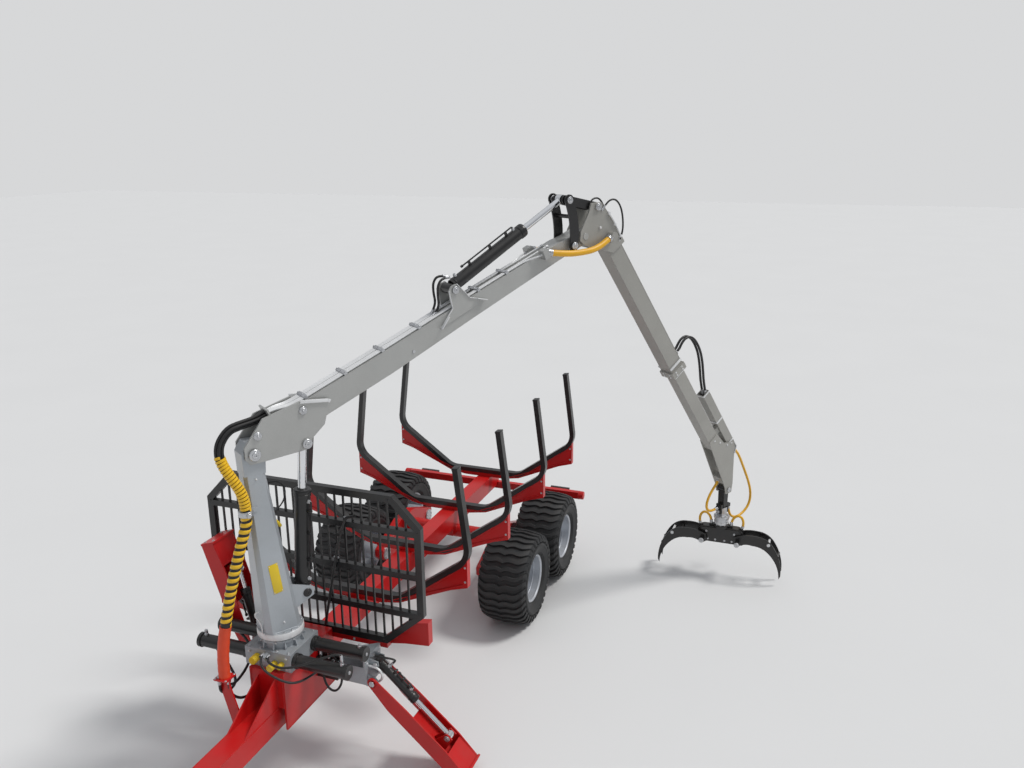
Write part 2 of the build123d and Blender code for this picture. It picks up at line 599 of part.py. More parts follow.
for side in (-1, 1):
    tube = hose("knuckle hose", [(x, side * w, z) for x, w, z in knuckle_route], knuckle_hose_r)
    knuckle_hoses = tube if knuckle_hoses is None else knuckle_hoses + tube
clip_s = boom_long - 494
clip = [on_boom(clip_s, 40), on_boom(clip_s + 58, 40), on_boom(clip_s + 58, 122), on_boom(clip_s, 122)]
boom += both(lambda a, b: plate(clip, a, b, 8), boom_half, 142) - knuckle_hoses
crane("hoses_knuckle", knuckle_hoses)
crane("main_boom", boom)

# Lift cylinder
barrel_top = 800.0
lift = rod(at(ahead(lift_foot, lift_eye, 40), 0), at(ahead(lift_foot, lift_eye, barrel_top), 0), 60)
lift += disc(lift_foot[0], lift_foot[1], 46, -58, 58)
lift -= disc(lift_foot[0], lift_foot[1], 25 + pin_gap, -70, 70)
lift -= rod(at(ahead(lift_foot, lift_eye, 70), 0), at(ahead(lift_foot, lift_eye, barrel_top + 9), 0), 32 + pin_gap)
crane("lift_barrel", lift)
ram = rod(at(ahead(lift_eye, lift_foot, 820), 0), at(lift_eye, 0), 32)
ram += disc(lift_eye[0], lift_eye[1], 44, -68, 68)
crane("lift_rod", ram)


# Outer boom: head plates, square tube, collar
def outer(t, v):
    return on_outer(t, v + tube_above)


def outer_tube(t0, t1, v, w):
    return plate([outer(t0, -v), outer(t1, -v), outer(t1, v), outer(t0, v)], -w, w)


tube_v = 80.0
tube_w = 70.0
tube_wall = 12.0
head_in = 79.0
head_out = 94.0
head = [on_outer(*p) for p in ((-145, 143), (-195, 208), (-129, 302), (99, 331), (325, 332), (324, 174), (136, 13),
                               (44, -57), (-12, -68), (-68, -17))]
outer_boom = both(lambda a, b: plate(head, a, b, 8), head_in, head_out)
outer_boom += outer_tube(110, tube_end, tube_v, tube_w)
outer_boom -= outer_tube(125, tube_end + 1, tube_v - tube_wall, tube_w - tube_wall)
outer_boom += both(lambda a, b: plate([outer(130, -75), outer(200, -75), outer(200, 75), outer(130, 75)], a, b),
                   tube_w, head_in + 1)
collar_t = 16.0
collar = outer_tube(tube_end - 70, tube_end, tube_v + collar_t, tube_w + collar_t)
collar -= outer_tube(tube_end - 71, tube_end + 1, tube_v, tube_w)
outer_boom += collar
clamp_t = tube_end - 184
outer_boom += both(lambda a, b: plate([outer(clamp_t, tube_v - 2), outer(clamp_t + 34, tube_v - 2),
                                       outer(clamp_t + 34, tube_v + 30), outer(clamp_t, tube_v + 30)], a, b), 8, 34)
outer_boom -= disc(knuckle[0], knuckle[1], 28 + pin_gap, -110, 110)
end_x, end_w, end_z = knuckle_route[-1]
outer_boom += both(lambda a, b: disc(end_x + 6, end_z + 2, knuckle_hose_r + 14, a, b), head_out - 1,
                   end_w + knuckle_hose_r + 8) - knuckle_hoses
outer_boom += both(lambda a, b: disc(head_eye[0], head_eye[1], 34, a, b), head_out, head_out + 10)
crane("outer_boom", outer_boom)

# Telescope: inner tube, hose guard on top, nose plates with the tip pin
tube_start = 1250.0
in_v = tube_v - tube_wall - slide_gap
in_w = tube_w - tube_wall - slide_gap
guard_v0 = 140.0
guard_v1 = 236.0
guard_w = 46.0
guard_t1 = reach_end + 205
guard_t0 = guard_t1 - 820
guard_wall = 6.0


def guard_box(t0, t1, inset):
    return plate([outer(t0, guard_v0 + inset), outer(t1, guard_v0 + inset), outer(t1, guard_v1 - inset),
                  outer(t0, guard_v1 - inset)], inset - guard_w, guard_w - inset)


inner_tube = outer_tube(tube_start, reach_end, in_v, in_w)
inner_tube -= outer_tube(tube_start - 1, reach_end - 20, in_v - 10, in_w - 10)
inner_tube += guard_box(guard_t0, guard_t1, 0) - guard_box(guard_t0 - 1, guard_t1 + 1, guard_wall)
saddle = reach_end - 145
inner_tube += plate([outer(saddle, in_v - 2), outer(saddle + 70, in_v - 2), outer(saddle + 70, guard_v0 + 2),
                     outer(saddle, guard_v0 + 2)], -30, 30)
nose_in = 57.0
nose_out = 67.0
nose = [outer(reach_end - 120, -in_v), outer(reach_end - 120, in_v), outer(reach_end + 50, 95),
        outer(guard_t1 - 35, guard_v1 - 20), outer(guard_t1 + 25, guard_v1 - 20), outer(guard_t1 + 75, 150),
        (tip_pin[0] + 62, tip_pin[1] + 60), (tip_pin[0] + 48, tip_pin[1] - 40), (tip_pin[0] - 40, tip_pin[1] - 46),
        (tip_pin[0] - 56, tip_pin[1] + 30)]
inner_tube += both(lambda a, b: plate(nose, a, b, 12), nose_in, nose_out)
inner_tube += disc(tip_pin[0], tip_pin[1], 20, -74, 74)
cheek = [outer(guard_t1 - 60, 165), outer(guard_t1 - 15, 165), outer(guard_t1 - 15, 212), outer(guard_t1 - 60, 212)]
inner_tube += both(lambda a, b: plate(cheek, a, b), guard_w - 2, nose_in + 1)

# Hoses from the nose to the hanger: one out of the guard, one out of a block between the nose plates
small_hose_r = 14.0
x0, z0 = tip_pin
port_z = cross_pin_z + 42
out_steps = [(200, -16, 345), (290, -12, 192), (400, -8, 0), (468, -4, -158), (468, -2, -295), (380, 0, -388),
             (250, 0, -418), (154, 0, -380), (108, 0, -302)]
out_route = [at(outer(guard_t1 - 75, 186), -22), at(outer(guard_t1 + 5, 188), -22), at(outer(guard_t1 + 110, 214), -20)]
out_route += [(x0 + x, w, z0 + z) for x, w, z in out_steps] + [(x0 + 92, 0, port_z)]
in_steps = [(-74, 142), (-126, 78), (-188, 15), (-240, -52), (-268, -128), (-254, -192), (-194, -224)]
in_route = [at(p, 0) for p in beside(tip_pin, in_steps)] + [(x0 - 130, 0, port_z - 4), (x0 - 72, 0, port_z)]
out_hose = hose("hanger hose", out_route, small_hose_r)
in_hose = hose("hanger hose", in_route, small_hose_r)
web = beside(tip_pin, [(-100, 100), (-40, 150), (-75, 205), (-130, 160)])
inner_tube += plate(web, -nose_in - 1, nose_in + 1) - in_hose
crane("hoses_hanger", out_hose + in_hose)
crane("telescope", inner_tube)

# Rocker of two bowed plates, coupler and fold cylinder
rocker_in = 100.0
rocker_out = 114.0
rocker_bow = -25.0
rocker = both(lambda a, b: link(rocker_foot, rocker_top, 46, a, b, rocker_bow), rocker_in, rocker_out)
rocker -= disc(rocker_foot[0], rocker_foot[1], 24 + pin_gap, -130, 130)
rocker += both(lambda a, b: disc(rocker_top[0], rocker_top[1], 22, a, b), 38, rocker_out + 6)
brace = ahead(rocker_foot, rocker_top, 240, rocker_bow)
rocker += disc(brace[0], brace[1], 17, -rocker_in - 2, rocker_in + 2)
crane("rocker", rocker)
coupler = both(lambda a, b: link(rocker_top, head_eye, 38, a, b), 50, 64)
coupler += both(lambda a, b: disc(head_eye[0], head_eye[1], 34, a, b), 40, 74)
coupler -= disc(rocker_top[0], rocker_top[1], 22 + pin_gap, -90, 90)
middle = ahead(rocker_top, head_eye, 190)
coupler += disc(middle[0], middle[1], 20, -50, 50)
crane("coupler", coupler)
fold_top = 835.0
fold = rod(at(ahead(fold_foot, rocker_top, 36), 0), at(ahead(fold_foot, rocker_top, fold_top), 0), 52)
fold += disc(fold_foot[0], fold_foot[1], 42, -60, 60)
fold -= disc(fold_foot[0], fold_foot[1], 22 + pin_gap, -70, 70)
fold -= rod(at(ahead(fold_foot, rocker_top, 60), 0), at(ahead(fold_foot, rocker_top, fold_top + 9), 0), 28 + pin_gap)
crane("fold_barrel", fold)
fold_rod = rod(at(ahead(rocker_top, fold_foot, 800), 0), at(rocker_top, 0), 28)
fold_rod += disc(rocker_top[0], rocker_top[1], 40, -32, 32)
crane("fold_rod", fold_rod)

# Twin hose loop from the clips on the outer boom into the guard
loop_hose_r = 13.0
loop_w = 21.0
loop_steps = [(17, 110), (17, 158), (-8, 212), (-16, 272), (8, 330), (70, 368), (156, 380), (259, 372), (364, 340),
              (469, 292), (574, 240)]
loop_route = [(clamp_t + t, v) for t, v in loop_steps] + [(guard_t0 + 30, 196)]
loop = None
for side in (-1, 1):
    tube = hose("telescope hose", [at(outer(t, v), side * loop_w) for t, v in loop_route], loop_hose_r)
    loop = tube if loop is None else loop + tube
crane("hoses_telescope", loop)

# Hanger and rotator
swing_pin = 20.0
cross_r = 18.0
hanger = plate([(x0 - 36, z0), (x0 - 30, cross_pin_z + 50), (x0 + 30, cross_pin_z + 50), (x0 + 36, z0)], -40, 40)
hanger += disc(x0, z0, 38, -50, 50)
for side in (-1, 1):
    a, b = sorted((x0 + side * 48, x0 + side * 62))
    hanger += block(a, b, -32, 32, cross_pin_z - 30, cross_pin_z + 70)
    a, b = sorted((x0 + side * 60, x0 + side * (86 if side < 0 else 108)))
    hanger += block(a, b, -20, 20, cross_pin_z + 24, cross_pin_z + 60)
hanger += block(x0 - 62, x0 + 62, -36, 36, cross_pin_z + 56, cross_pin_z + 80)
hanger -= out_hose + in_hose
hanger -= disc(x0, z0, swing_pin + pin_gap, -60, 60)
hanger -= rod((x0 - 80, 0, cross_pin_z), (x0 + 80, 0, cross_pin_z), cross_r + pin_gap)
crane("hanger", hanger)
rotor_r = 78.0
spindle_r = 40.0
rotator = rod((x0 - 72, 0, cross_pin_z), (x0 + 72, 0, cross_pin_z), cross_r)
rotator += block(x0 - 40, x0 + 40, -34, 34, cross_pin_z - 60, cross_pin_z + 30)
rotator += Pos(x0, 0, cross_pin_z - 110) * Cylinder(rotor_r, 100)
rotator += Pos(x0, 0, cross_pin_z - 76) * Cylinder(rotor_r + 8, 20)
rotator += Pos(x0, 0, cross_pin_z - 172) * Cylinder(spindle_r, 30)
crane("rotator", rotator)

# Grapple: body of two plates with the claws' pins, claws of two bowed plates each
grab_top = cross_pin_z - 166
jaw_pin = (190.0, cross_pin_z - 330)
body_t = 12.0
body_in = 46.0


def grab(shape):
    return Pos(x0, 0, 0) * Rot(0, 0, jaw_bearing - crane_bearing) * shape


flank = [(-250, jaw_pin[1] - 40), (250, jaw_pin[1] - 40), (265, jaw_pin[1] + 30), (200, grab_top - 40),
         (-200, grab_top - 40), (-265, jaw_pin[1] + 30)]
body = Pos(0, 0, grab_top - 15) * Cylinder(88, 30)
body += block(-175, 175, -body_in, body_in, jaw_pin[1] - 20, grab_top - 28)
for side in (-1, 1):
    body += disc(side * 175, grab_top - 96, 68, -body_in, body_in)
    body += disc(side * jaw_pin[0], jaw_pin[1], 22, -150, 150)
    a, b = sorted((side * 80, side * 126))
    body += block(a, b, -18, 18, grab_top - 30, grab_top - 2)
    a, b = sorted((side * 194, side * 238))
    body += block(a, b, -18, 18, grab_top - 72, grab_top - 22)
body -= Pos(0, 0, grab_top - 12) * Cylinder(spindle_r + pin_gap, 26)
body += both(lambda a, b: plate(flank, a, b, 24), body_in, body_in + body_t)
claw_route = [(108, -16), (111, 42), (134, 92), (178, 122), (222, 98), (238, 38), (230, -12), (216, -44)]
claw_hoses = None
for side in (-1, 1):
    tube = hose("grapple hose", [(side * u, 0, grab_top + z) for u, z in claw_route], small_hose_r)
    claw_hoses = tube if claw_hoses is None else claw_hoses + tube
body -= claw_hoses
crane("hoses_grapple", grab(claw_hoses))
crane("grapple_body", grab(body))
claw_rows = {"claw_a": (1, 64.0, 78.0), "claw_b": (-1, 84.0, 98.0)}
root_low = (140, jaw_pin[1] - 20)
root_high = (150, jaw_pin[1] + 56)
crown_top = (395, jaw_pin[1] + 98)
shoulder = (565, jaw_pin[1] + 10)
claw_tip = (668, jaw_pin[1] - 328)
claw_end = (650, jaw_pin[1] - 368)
elbow = (512, jaw_pin[1] - 72)
palm = (350, jaw_pin[1] - 16)
for name, (side, a, b) in claw_rows.items():
    edges = [(root_high, (270, jaw_pin[1] + 94), crown_top), (crown_top, (490, jaw_pin[1] + 74), shoulder),
             (shoulder, (642, jaw_pin[1] - 140), claw_tip), (claw_tip, claw_end),
             (claw_end, (604, jaw_pin[1] - 186), elbow),
             (elbow, (440, jaw_pin[1] - 30), palm), (palm, (240, jaw_pin[1] - 24), (190, jaw_pin[1] - 55)),
             ((190, jaw_pin[1] - 55), root_low), (root_low, root_high)]
    edges = [[(side * u, z) for u, z in e] for e in edges]
    shape = both(lambda p, q: curved_plate(edges, p, q), a, b)
    for u, z in ((430, jaw_pin[1] + 35), (618, jaw_pin[1] - 120)):
        shape += disc(side * u, z, 18, -b, b)
    shape -= disc(side * jaw_pin[0], jaw_pin[1], 22 + pin_gap, -160, 160)
    crane(name, grab(shape))

total = 0.0
for name, shape in nodes.items():
    moved = Pos(-eye_ahead, 0, -eye_height) * shape
    total += moved.volume
    export_step(moved, f"parts/{name}.step")
box = Compound(children=[Pos(-eye_ahead, 0, -eye_height) * s for s in nodes.values()]).bounding_box()
print(len(nodes), "nodes", round(total / 1e9, 4), "m3", box.min, box.max)
for name, shape in nodes.items():
    if len(shape.solids()) > 1:
        print(name, len(shape.solids()), "solids")
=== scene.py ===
import json
import math

import bmesh
import bpy
from mathutils import Matrix, Vector

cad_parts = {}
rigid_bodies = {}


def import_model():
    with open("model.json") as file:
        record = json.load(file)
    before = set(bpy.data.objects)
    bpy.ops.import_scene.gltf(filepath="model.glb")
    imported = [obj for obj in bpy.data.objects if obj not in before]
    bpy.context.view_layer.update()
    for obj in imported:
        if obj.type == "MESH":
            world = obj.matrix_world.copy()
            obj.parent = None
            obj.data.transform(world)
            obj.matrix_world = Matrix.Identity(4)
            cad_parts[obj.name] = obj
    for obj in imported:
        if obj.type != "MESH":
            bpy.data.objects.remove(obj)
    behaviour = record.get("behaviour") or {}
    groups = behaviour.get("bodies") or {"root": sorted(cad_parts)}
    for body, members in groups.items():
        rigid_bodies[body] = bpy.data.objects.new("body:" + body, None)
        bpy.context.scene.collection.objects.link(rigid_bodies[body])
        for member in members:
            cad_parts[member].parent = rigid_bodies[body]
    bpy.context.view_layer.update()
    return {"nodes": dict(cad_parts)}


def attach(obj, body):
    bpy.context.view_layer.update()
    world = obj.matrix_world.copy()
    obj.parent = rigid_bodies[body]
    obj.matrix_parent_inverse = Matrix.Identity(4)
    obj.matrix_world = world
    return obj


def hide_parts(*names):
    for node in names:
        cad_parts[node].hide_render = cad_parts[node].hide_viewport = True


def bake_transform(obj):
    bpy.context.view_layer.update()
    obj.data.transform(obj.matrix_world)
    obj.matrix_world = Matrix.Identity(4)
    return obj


for thing in list(bpy.data.objects):
    bpy.data.objects.remove(thing)
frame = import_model()
print("frame loaded:", len(frame["nodes"]), "nodes")

# Places of the crane's pins, in metres: distance from the pillar's axis and height
crane = {
    "bearing": math.radians(147.0),
    "eyeAhead": 1.5,
    "eyeHigh": 0.55,
    "boomPin": (-0.110, 2.630),
    "boomLong": 3.2937,
    "boomSlope": 23.04,
    "liftFoot": (0.200, 1.451),
    "liftEye": (0.360, -0.1553),
    "foldFoot": (1.9447, 0.2314),
    "rockerFoot": (3.1372, -0.0052),
    "rockerLong": 0.3865,
    "rockerSlope": 98.8,
    "outerSlope": -55.0,
    "tubeAbove": 0.225,
    "headEye": (-0.1228, 0.2483),
    "tipOnOuter": (3.5936, 0.0951),
    "tipDrop": 0.260,
    "rotatorHigh": 0.166,
    "jawOut": 0.190,
    "jawDrop": 0.330,
    "jawBearing": math.radians(90.0),
}


def ahead(start, slope, along, up=0.0):
    c, s = math.cos(math.radians(slope)), math.sin(math.radians(slope))
    return (start[0] + c * along - s * up, start[1] + s * along + c * up)


def onBoom(place):
    return ahead(crane["boomPin"], crane["boomSlope"], *place)


knuckle = onBoom((crane["boomLong"], 0.0))
liftEye = onBoom(crane["liftEye"])
foldFoot = onBoom(crane["foldFoot"])
rockerFoot = onBoom(crane["rockerFoot"])
rockerTop = ahead(rockerFoot, crane["rockerSlope"], crane["rockerLong"])
headEye = ahead(knuckle, crane["outerSlope"], *crane["headEye"])
tipPin = ahead(knuckle, crane["outerSlope"], *crane["tipOnOuter"])
crossPinZ = tipPin[1] - crane["tipDrop"]
grabTop = crossPinZ - crane["rotatorHigh"]
jawZ = crossPinZ - crane["jawDrop"]


def trailerPoint(x, y, z):
    return Vector((x - crane["eyeAhead"], y, z - crane["eyeHigh"]))


def cranePoint(r, w, z):
    c, s = math.cos(crane["bearing"]), math.sin(crane["bearing"])
    return trailerPoint(r * c - w * s, r * s + w * c, z)


def pinPoint(pin, w=0.0):
    return cranePoint(pin[0], w, pin[1])


def boomPoint(along, w, up):
    return pinPoint(onBoom((along, up)), w)


def outerPoint(t, w, v):
    return pinPoint(ahead(knuckle, crane["outerSlope"], t, v + crane["tubeAbove"]), w)


def tipPoint(r, w, z):
    return cranePoint(tipPin[0] + r, w, tipPin[1] + z)


def grabPoint(u, w, z):
    c, s = math.cos(crane["jawBearing"]), math.sin(crane["jawBearing"])
    return cranePoint(tipPin[0], 0, z) + Vector((u * c - w * s, u * s + w * c, 0))


def wayOf(point, step):
    return (point(*step) - point(0, 0, 0)).normalized()


upward = Vector((0, 0, 1))
forward = Vector((1, 0, 0))
radial = wayOf(cranePoint, (1, 0, 0))
sideways = wayOf(cranePoint, (0, 1, 0))
boomUp = wayOf(boomPoint, (0, 0, 1))
outerWay = wayOf(outerPoint, (1, 0, 0))
outerUp = wayOf(outerPoint, (0, 0, 1))
jawSide = wayOf(grabPoint, (0, 1, 0))


# Shader groups

def feed(tree, socket, value):
    # a link where the value comes from another node, else a plain number or colour
    if isinstance(value, bpy.types.NodeSocket):
        tree.links.new(value, socket)
    else:
        socket.default_value = value


def newGroup(name, inputs, outputs):
    group = bpy.data.node_groups.new(name, "ShaderNodeTree")
    for label, kind, value in inputs:
        socket = group.interface.new_socket(label, in_out="INPUT", socket_type=kind)
        socket.default_value = value
    for label, kind in outputs:
        group.interface.new_socket(label, in_out="OUTPUT", socket_type=kind)
    return group, group.nodes.new("NodeGroupInput"), group.nodes.new("NodeGroupOutput")


def addNode(tree, kind, links=None, **settings):
    node = tree.nodes.new(kind)
    for name, value in settings.items():
        setattr(node, name, value)
    for key, value in (links or {}).items():
        feed(tree, node.inputs[key], value)
    return node


def placeGroup(tree, group, **links):
    node = tree.nodes.new("ShaderNodeGroup")
    node.node_tree = group
    for key, value in links.items():
        feed(tree, node.inputs[key], value)
    return node


def objectPlace(tree):
    return addNode(tree, "ShaderNodeTexCoord").outputs["Object"]


def noise(tree, place, scale, detail, **more):
    return addNode(tree, "ShaderNodeTexNoise", {"Vector": place, "Scale": scale, "Detail": detail, **more}).outputs[0]


def ramp(tree, fac, low, high):
    return addNode(tree, "ShaderNodeMapRange", {"Value": fac, "From Min": low, "From Max": high}).outputs[0]


def mixColor(tree, fac, a, b, how="MIX"):
    node = addNode(tree, "ShaderNodeMix", data_type="RGBA", blend_type=how)
    for key, value in ((0, fac), (6, a), (7, b)):
        feed(tree, node.inputs[key], value)
    return node.outputs[2]


def maths(tree, how, a, b=0.0):
    return addNode(tree, "ShaderNodeMath", {0: a, 1: b}, operation=how).outputs[0]


def times(tree, a, b):
    return maths(tree, "MULTIPLY", a, b)


def plus(tree, a, b):
    return maths(tree, "ADD", a, b)


def minus(tree, a, b):
    return maths(tree, "SUBTRACT", a, b)


def buildRoadDirt():
    # dust that settles on what faces up, with splashes low down and blotches everywhere
    group, inside, out = newGroup("roadDirt", [
        ("Clean", "NodeSocketColor", (0.5, 0.5, 0.5, 1)),
        ("Dirt", "NodeSocketColor", (0.12, 0.10, 0.08, 1)),
        ("Amount", "NodeSocketFloat", 0.4),
        ("Scale", "NodeSocketFloat", 6.0),
    ], [("Color", "NodeSocketColor"), ("Mask", "NodeSocketFloat")])
    place = addNode(group, "ShaderNodeTexCoord")
    cloud = noise(group, place.outputs["Object"], inside.outputs["Scale"], 8.0, Roughness=0.65)
    fine = noise(group, place.outputs["Object"], 90.0, 4.0, Roughness=0.7)
    facing = addNode(group, "ShaderNodeSeparateXYZ", {0: place.outputs["Normal"]}).outputs[2]
    height = addNode(group, "ShaderNodeSeparateXYZ", {0: place.outputs["Object"]}).outputs[2]
    settle = times(group, ramp(group, facing, 0.2, 1.0), 0.55)
    splash = times(group, ramp(group, height, 0.9, -0.4), 0.5)
    spread = plus(group, plus(group, settle, splash), 0.25)
    blotch = ramp(group, plus(group, cloud, times(group, fine, 0.35)), 0.5, 0.95)
    mask = times(group, times(group, blotch, spread), inside.outputs["Amount"])
    group.links.new(mixColor(group, mask, inside.outputs["Clean"], inside.outputs["Dirt"]), out.inputs["Color"])
    group.links.new(mask, out.inputs["Mask"])
    return group


def buildSoftEdge():
    # rounds the drawn edges a little and finds them, for paint that has worn through
    group, inside, out = newGroup("softEdge", [
        ("Radius", "NodeSocketFloat", 0.003),
    ], [("Normal", "NodeSocketVector"), ("Edge", "NodeSocketFloat")])
    rounded = addNode(group, "ShaderNodeBevel", {"Radius": inside.outputs["Radius"]}, samples=4).outputs[0]
    flat = addNode(group, "ShaderNodeNewGeometry").outputs["Normal"]
    same = addNode(group, "ShaderNodeVectorMath", {0: rounded, 1: flat}, operation="DOT_PRODUCT").outputs["Value"]
    chips = noise(group, objectPlace(group), 38.0, 6.0)
    edge = times(group, ramp(group, same, 0.985, 0.86), ramp(group, chips, 0.5, 0.66))
    group.links.new(rounded, out.inputs["Normal"])
    group.links.new(edge, out.inputs["Edge"])
    return group


def buildPaintSkin():
    # faint orange peel and hairline scratches, as a height for a Bump node
    group, inside, out = newGroup("paintSkin", [
        ("Peel", "NodeSocketFloat", 140.0),
        ("Scratches", "NodeSocketFloat", 0.3),
    ], [("Height", "NodeSocketFloat"), ("Scratch", "NodeSocketFloat")])
    place = objectPlace(group)
    peel = noise(group, place, inside.outputs["Peel"], 2.0)
    turned = addNode(group, "ShaderNodeMapping", {"Vector": place, "Rotation": (0.6, 0.3, 0.9),
                                                  "Scale": (3.0, 55.0, 55.0)}).outputs[0]
    streak = noise(group, turned, 4.0, 5.0, Distortion=0.6)
    scratch = times(group, ramp(group, streak, 0.66, 0.7), inside.outputs["Scratches"])
    group.links.new(minus(group, times(group, peel, 0.5), scratch), out.inputs["Height"])
    group.links.new(scratch, out.inputs["Scratch"])
    return group


def buildFlakes():
    # metallic flake: tiny cells that lighten and darken the colour
    group, inside, out = newGroup("flakes", [
        ("Color", "NodeSocketColor", (0.5, 0.5, 0.5, 1)),
        ("Depth", "NodeSocketFloat", 0.2),
    ], [("Color", "NodeSocketColor")])
    place = objectPlace(group)
    cells = addNode(group, "ShaderNodeTexVoronoi", {"Vector": place, "Scale": 900.0}).outputs["Color"]
    bright = addNode(group, "ShaderNodeSeparateXYZ", {0: cells}).outputs[0]
    broad = noise(group, place, 2.5, 3.0)
    light = plus(group, times(group, minus(group, bright, 0.5), inside.outputs["Depth"]),
                 times(group, minus(group, broad, 0.5), 0.25))
    scaled = addNode(group, "ShaderNodeVectorMath", {0: inside.outputs["Color"], "Scale": plus(group, light, 1.0)},
                     operation="SCALE").outputs[0]
    group.links.new(scaled, out.inputs["Color"])
    return group


roadDirt = buildRoadDirt()
softEdge = buildSoftEdge()
paintSkin = buildPaintSkin()
flakes = buildFlakes()
print("shader groups ready")


# Materials

def startMaterial(name):
    material = bpy.data.materials.new(name)
    material.use_nodes = True
    tree = material.node_tree
    return material, tree, tree.nodes["Principled BSDF"]


def addBump(tree, shader, height, strength, distance, **more):
    bump = addNode(tree, "ShaderNodeBump", {"Height": height, "Strength": strength, "Distance": distance, **more})
    tree.links.new(bump.outputs[0], shader.inputs["Normal"])


paints = {
    "redPaint": {"color": (0.50, 0.005, 0.006), "metallic": 0.0, "roughness": 0.30, "coat": 0.15, "flake": 0.05,
                 "dirt": 0.17, "edge": (0.30, 0.10, 0.07), "wear": 0.25, "shine": 0.32},
    "silverPaint": {"color": (0.42, 0.425, 0.415), "metallic": 0.35, "roughness": 0.36, "coat": 0.2, "flake": 0.22,
                    "dirt": 0.22, "edge": (0.6, 0.6, 0.6), "wear": 0.25, "shine": 0.5},
    "boomGrey": {"color": (0.36, 0.355, 0.33), "metallic": 0.25, "roughness": 0.42, "coat": 0.12, "flake": 0.18,
                 "dirt": 0.34, "edge": (0.6, 0.6, 0.6), "wear": 0.3, "shine": 0.5},
    "pillarGrey": {"color": (0.40, 0.43, 0.46), "metallic": 0.35, "roughness": 0.33, "coat": 0.25, "flake": 0.22,
                   "dirt": 0.22, "edge": (0.6, 0.6, 0.6), "wear": 0.25, "shine": 0.5},
    "castGrey": {"color": (0.38, 0.41, 0.44), "metallic": 0.4, "roughness": 0.40, "coat": 0.0, "flake": 0.2,
                 "dirt": 0.5, "edge": (0.5, 0.5, 0.5), "wear": 0.4, "shine": 0.5},
    "whiteSteel": {"color": (0.74, 0.75, 0.76), "metallic": 0.15, "roughness": 0.30, "coat": 0.1, "flake": 0.15,
                   "dirt": 0.25, "edge": (0.7, 0.7, 0.7), "wear": 0.2, "shine": 0.5},
    "blackPaint": {"color": (0.0075, 0.0075, 0.0085), "metallic": 0.0, "roughness": 0.33, "coat": 0.2,
                   "flake": 0.05, "dirt": 0.16, "edge": (0.12, 0.11, 0.10), "wear": 0.35, "shine": 0.5},
    "rimSilver": {"color": (0.58, 0.61, 0.66), "metallic": 0.5, "roughness": 0.34, "coat": 0.1, "flake": 0.15,
                  "dirt": 0.4, "edge": (0.5, 0.5, 0.5), "wear": 0.2, "shine": 0.5},
    "yellowPaint": {"color": (0.70, 0.50, 0.012), "metallic": 0.0, "roughness": 0.36, "coat": 0.2, "flake": 0.03,
                    "dirt": 0.25, "edge": (0.35, 0.3, 0.2), "wear": 0.3, "shine": 0.5},
    "zincSteel": {"color": (0.55, 0.56, 0.58), "metallic": 0.85, "roughness": 0.30, "coat": 0.0, "flake": 0.25,
                  "dirt": 0.25, "edge": (0.7, 0.7, 0.7), "wear": 0.3, "shine": 0.5},
    "chromeRod": {"color": (0.78, 0.79, 0.81), "metallic": 1.0, "roughness": 0.09, "coat": 0.0, "flake": 0.02,
                  "dirt": 0.10, "edge": (0.8, 0.8, 0.8), "wear": 0.1, "shine": 0.5},
}


def buildPaint(name, look):
    material, tree, shader = startMaterial(name)
    speckled = placeGroup(tree, flakes, Color=(*look["color"], 1), Depth=look["flake"])
    edges = placeGroup(tree, softEdge, Radius=0.003)
    worn = mixColor(tree, times(tree, edges.outputs["Edge"], look["wear"]), speckled.outputs["Color"],
                    (*look["edge"], 1))
    dirty = placeGroup(tree, roadDirt, Clean=worn, Amount=look["dirt"])
    skin = placeGroup(tree, paintSkin, Peel=150.0, Scratches=0.35)
    tree.links.new(dirty.outputs["Color"], shader.inputs["Base Color"])
    scuffed = plus(tree, times(tree, skin.outputs["Scratch"], 0.3), look["roughness"])
    tree.links.new(plus(tree, times(tree, dirty.outputs["Mask"], 0.5), scuffed), shader.inputs["Roughness"])
    metal = times(tree, minus(tree, 1.0, dirty.outputs["Mask"]), look["metallic"])
    tree.links.new(metal, shader.inputs["Metallic"])
    shader.inputs["Coat Weight"].default_value = look["coat"]
    shader.inputs["Coat Roughness"].default_value = 0.15
    shader.inputs["Specular IOR Level"].default_value = look["shine"]
    addBump(tree, shader, skin.outputs["Height"], 0.10, 0.002, Normal=edges.outputs["Normal"])
    return material


rubbers = {
    "tyreRubber": {"color": (0.014, 0.015, 0.017), "roughness": 0.53, "dirt": 0.32, "grain": 260.0, "bump": 0.35},
    "blackHose": {"color": (0.012, 0.012, 0.013), "roughness": 0.38, "dirt": 0.25, "grain": 500.0, "bump": 0.2},
    "yellowHose": {"color": (0.80, 0.42, 0.010), "roughness": 0.35, "dirt": 0.3, "grain": 420.0, "bump": 0.2},
    "yellowSpiral": {"color": (0.82, 0.49, 0.013), "roughness": 0.31, "dirt": 0.22, "grain": 300.0, "bump": 0.15},
    "redSleeve": {"color": (0.72, 0.06, 0.012), "roughness": 0.43, "dirt": 0.3, "grain": 350.0, "bump": 0.3},
}


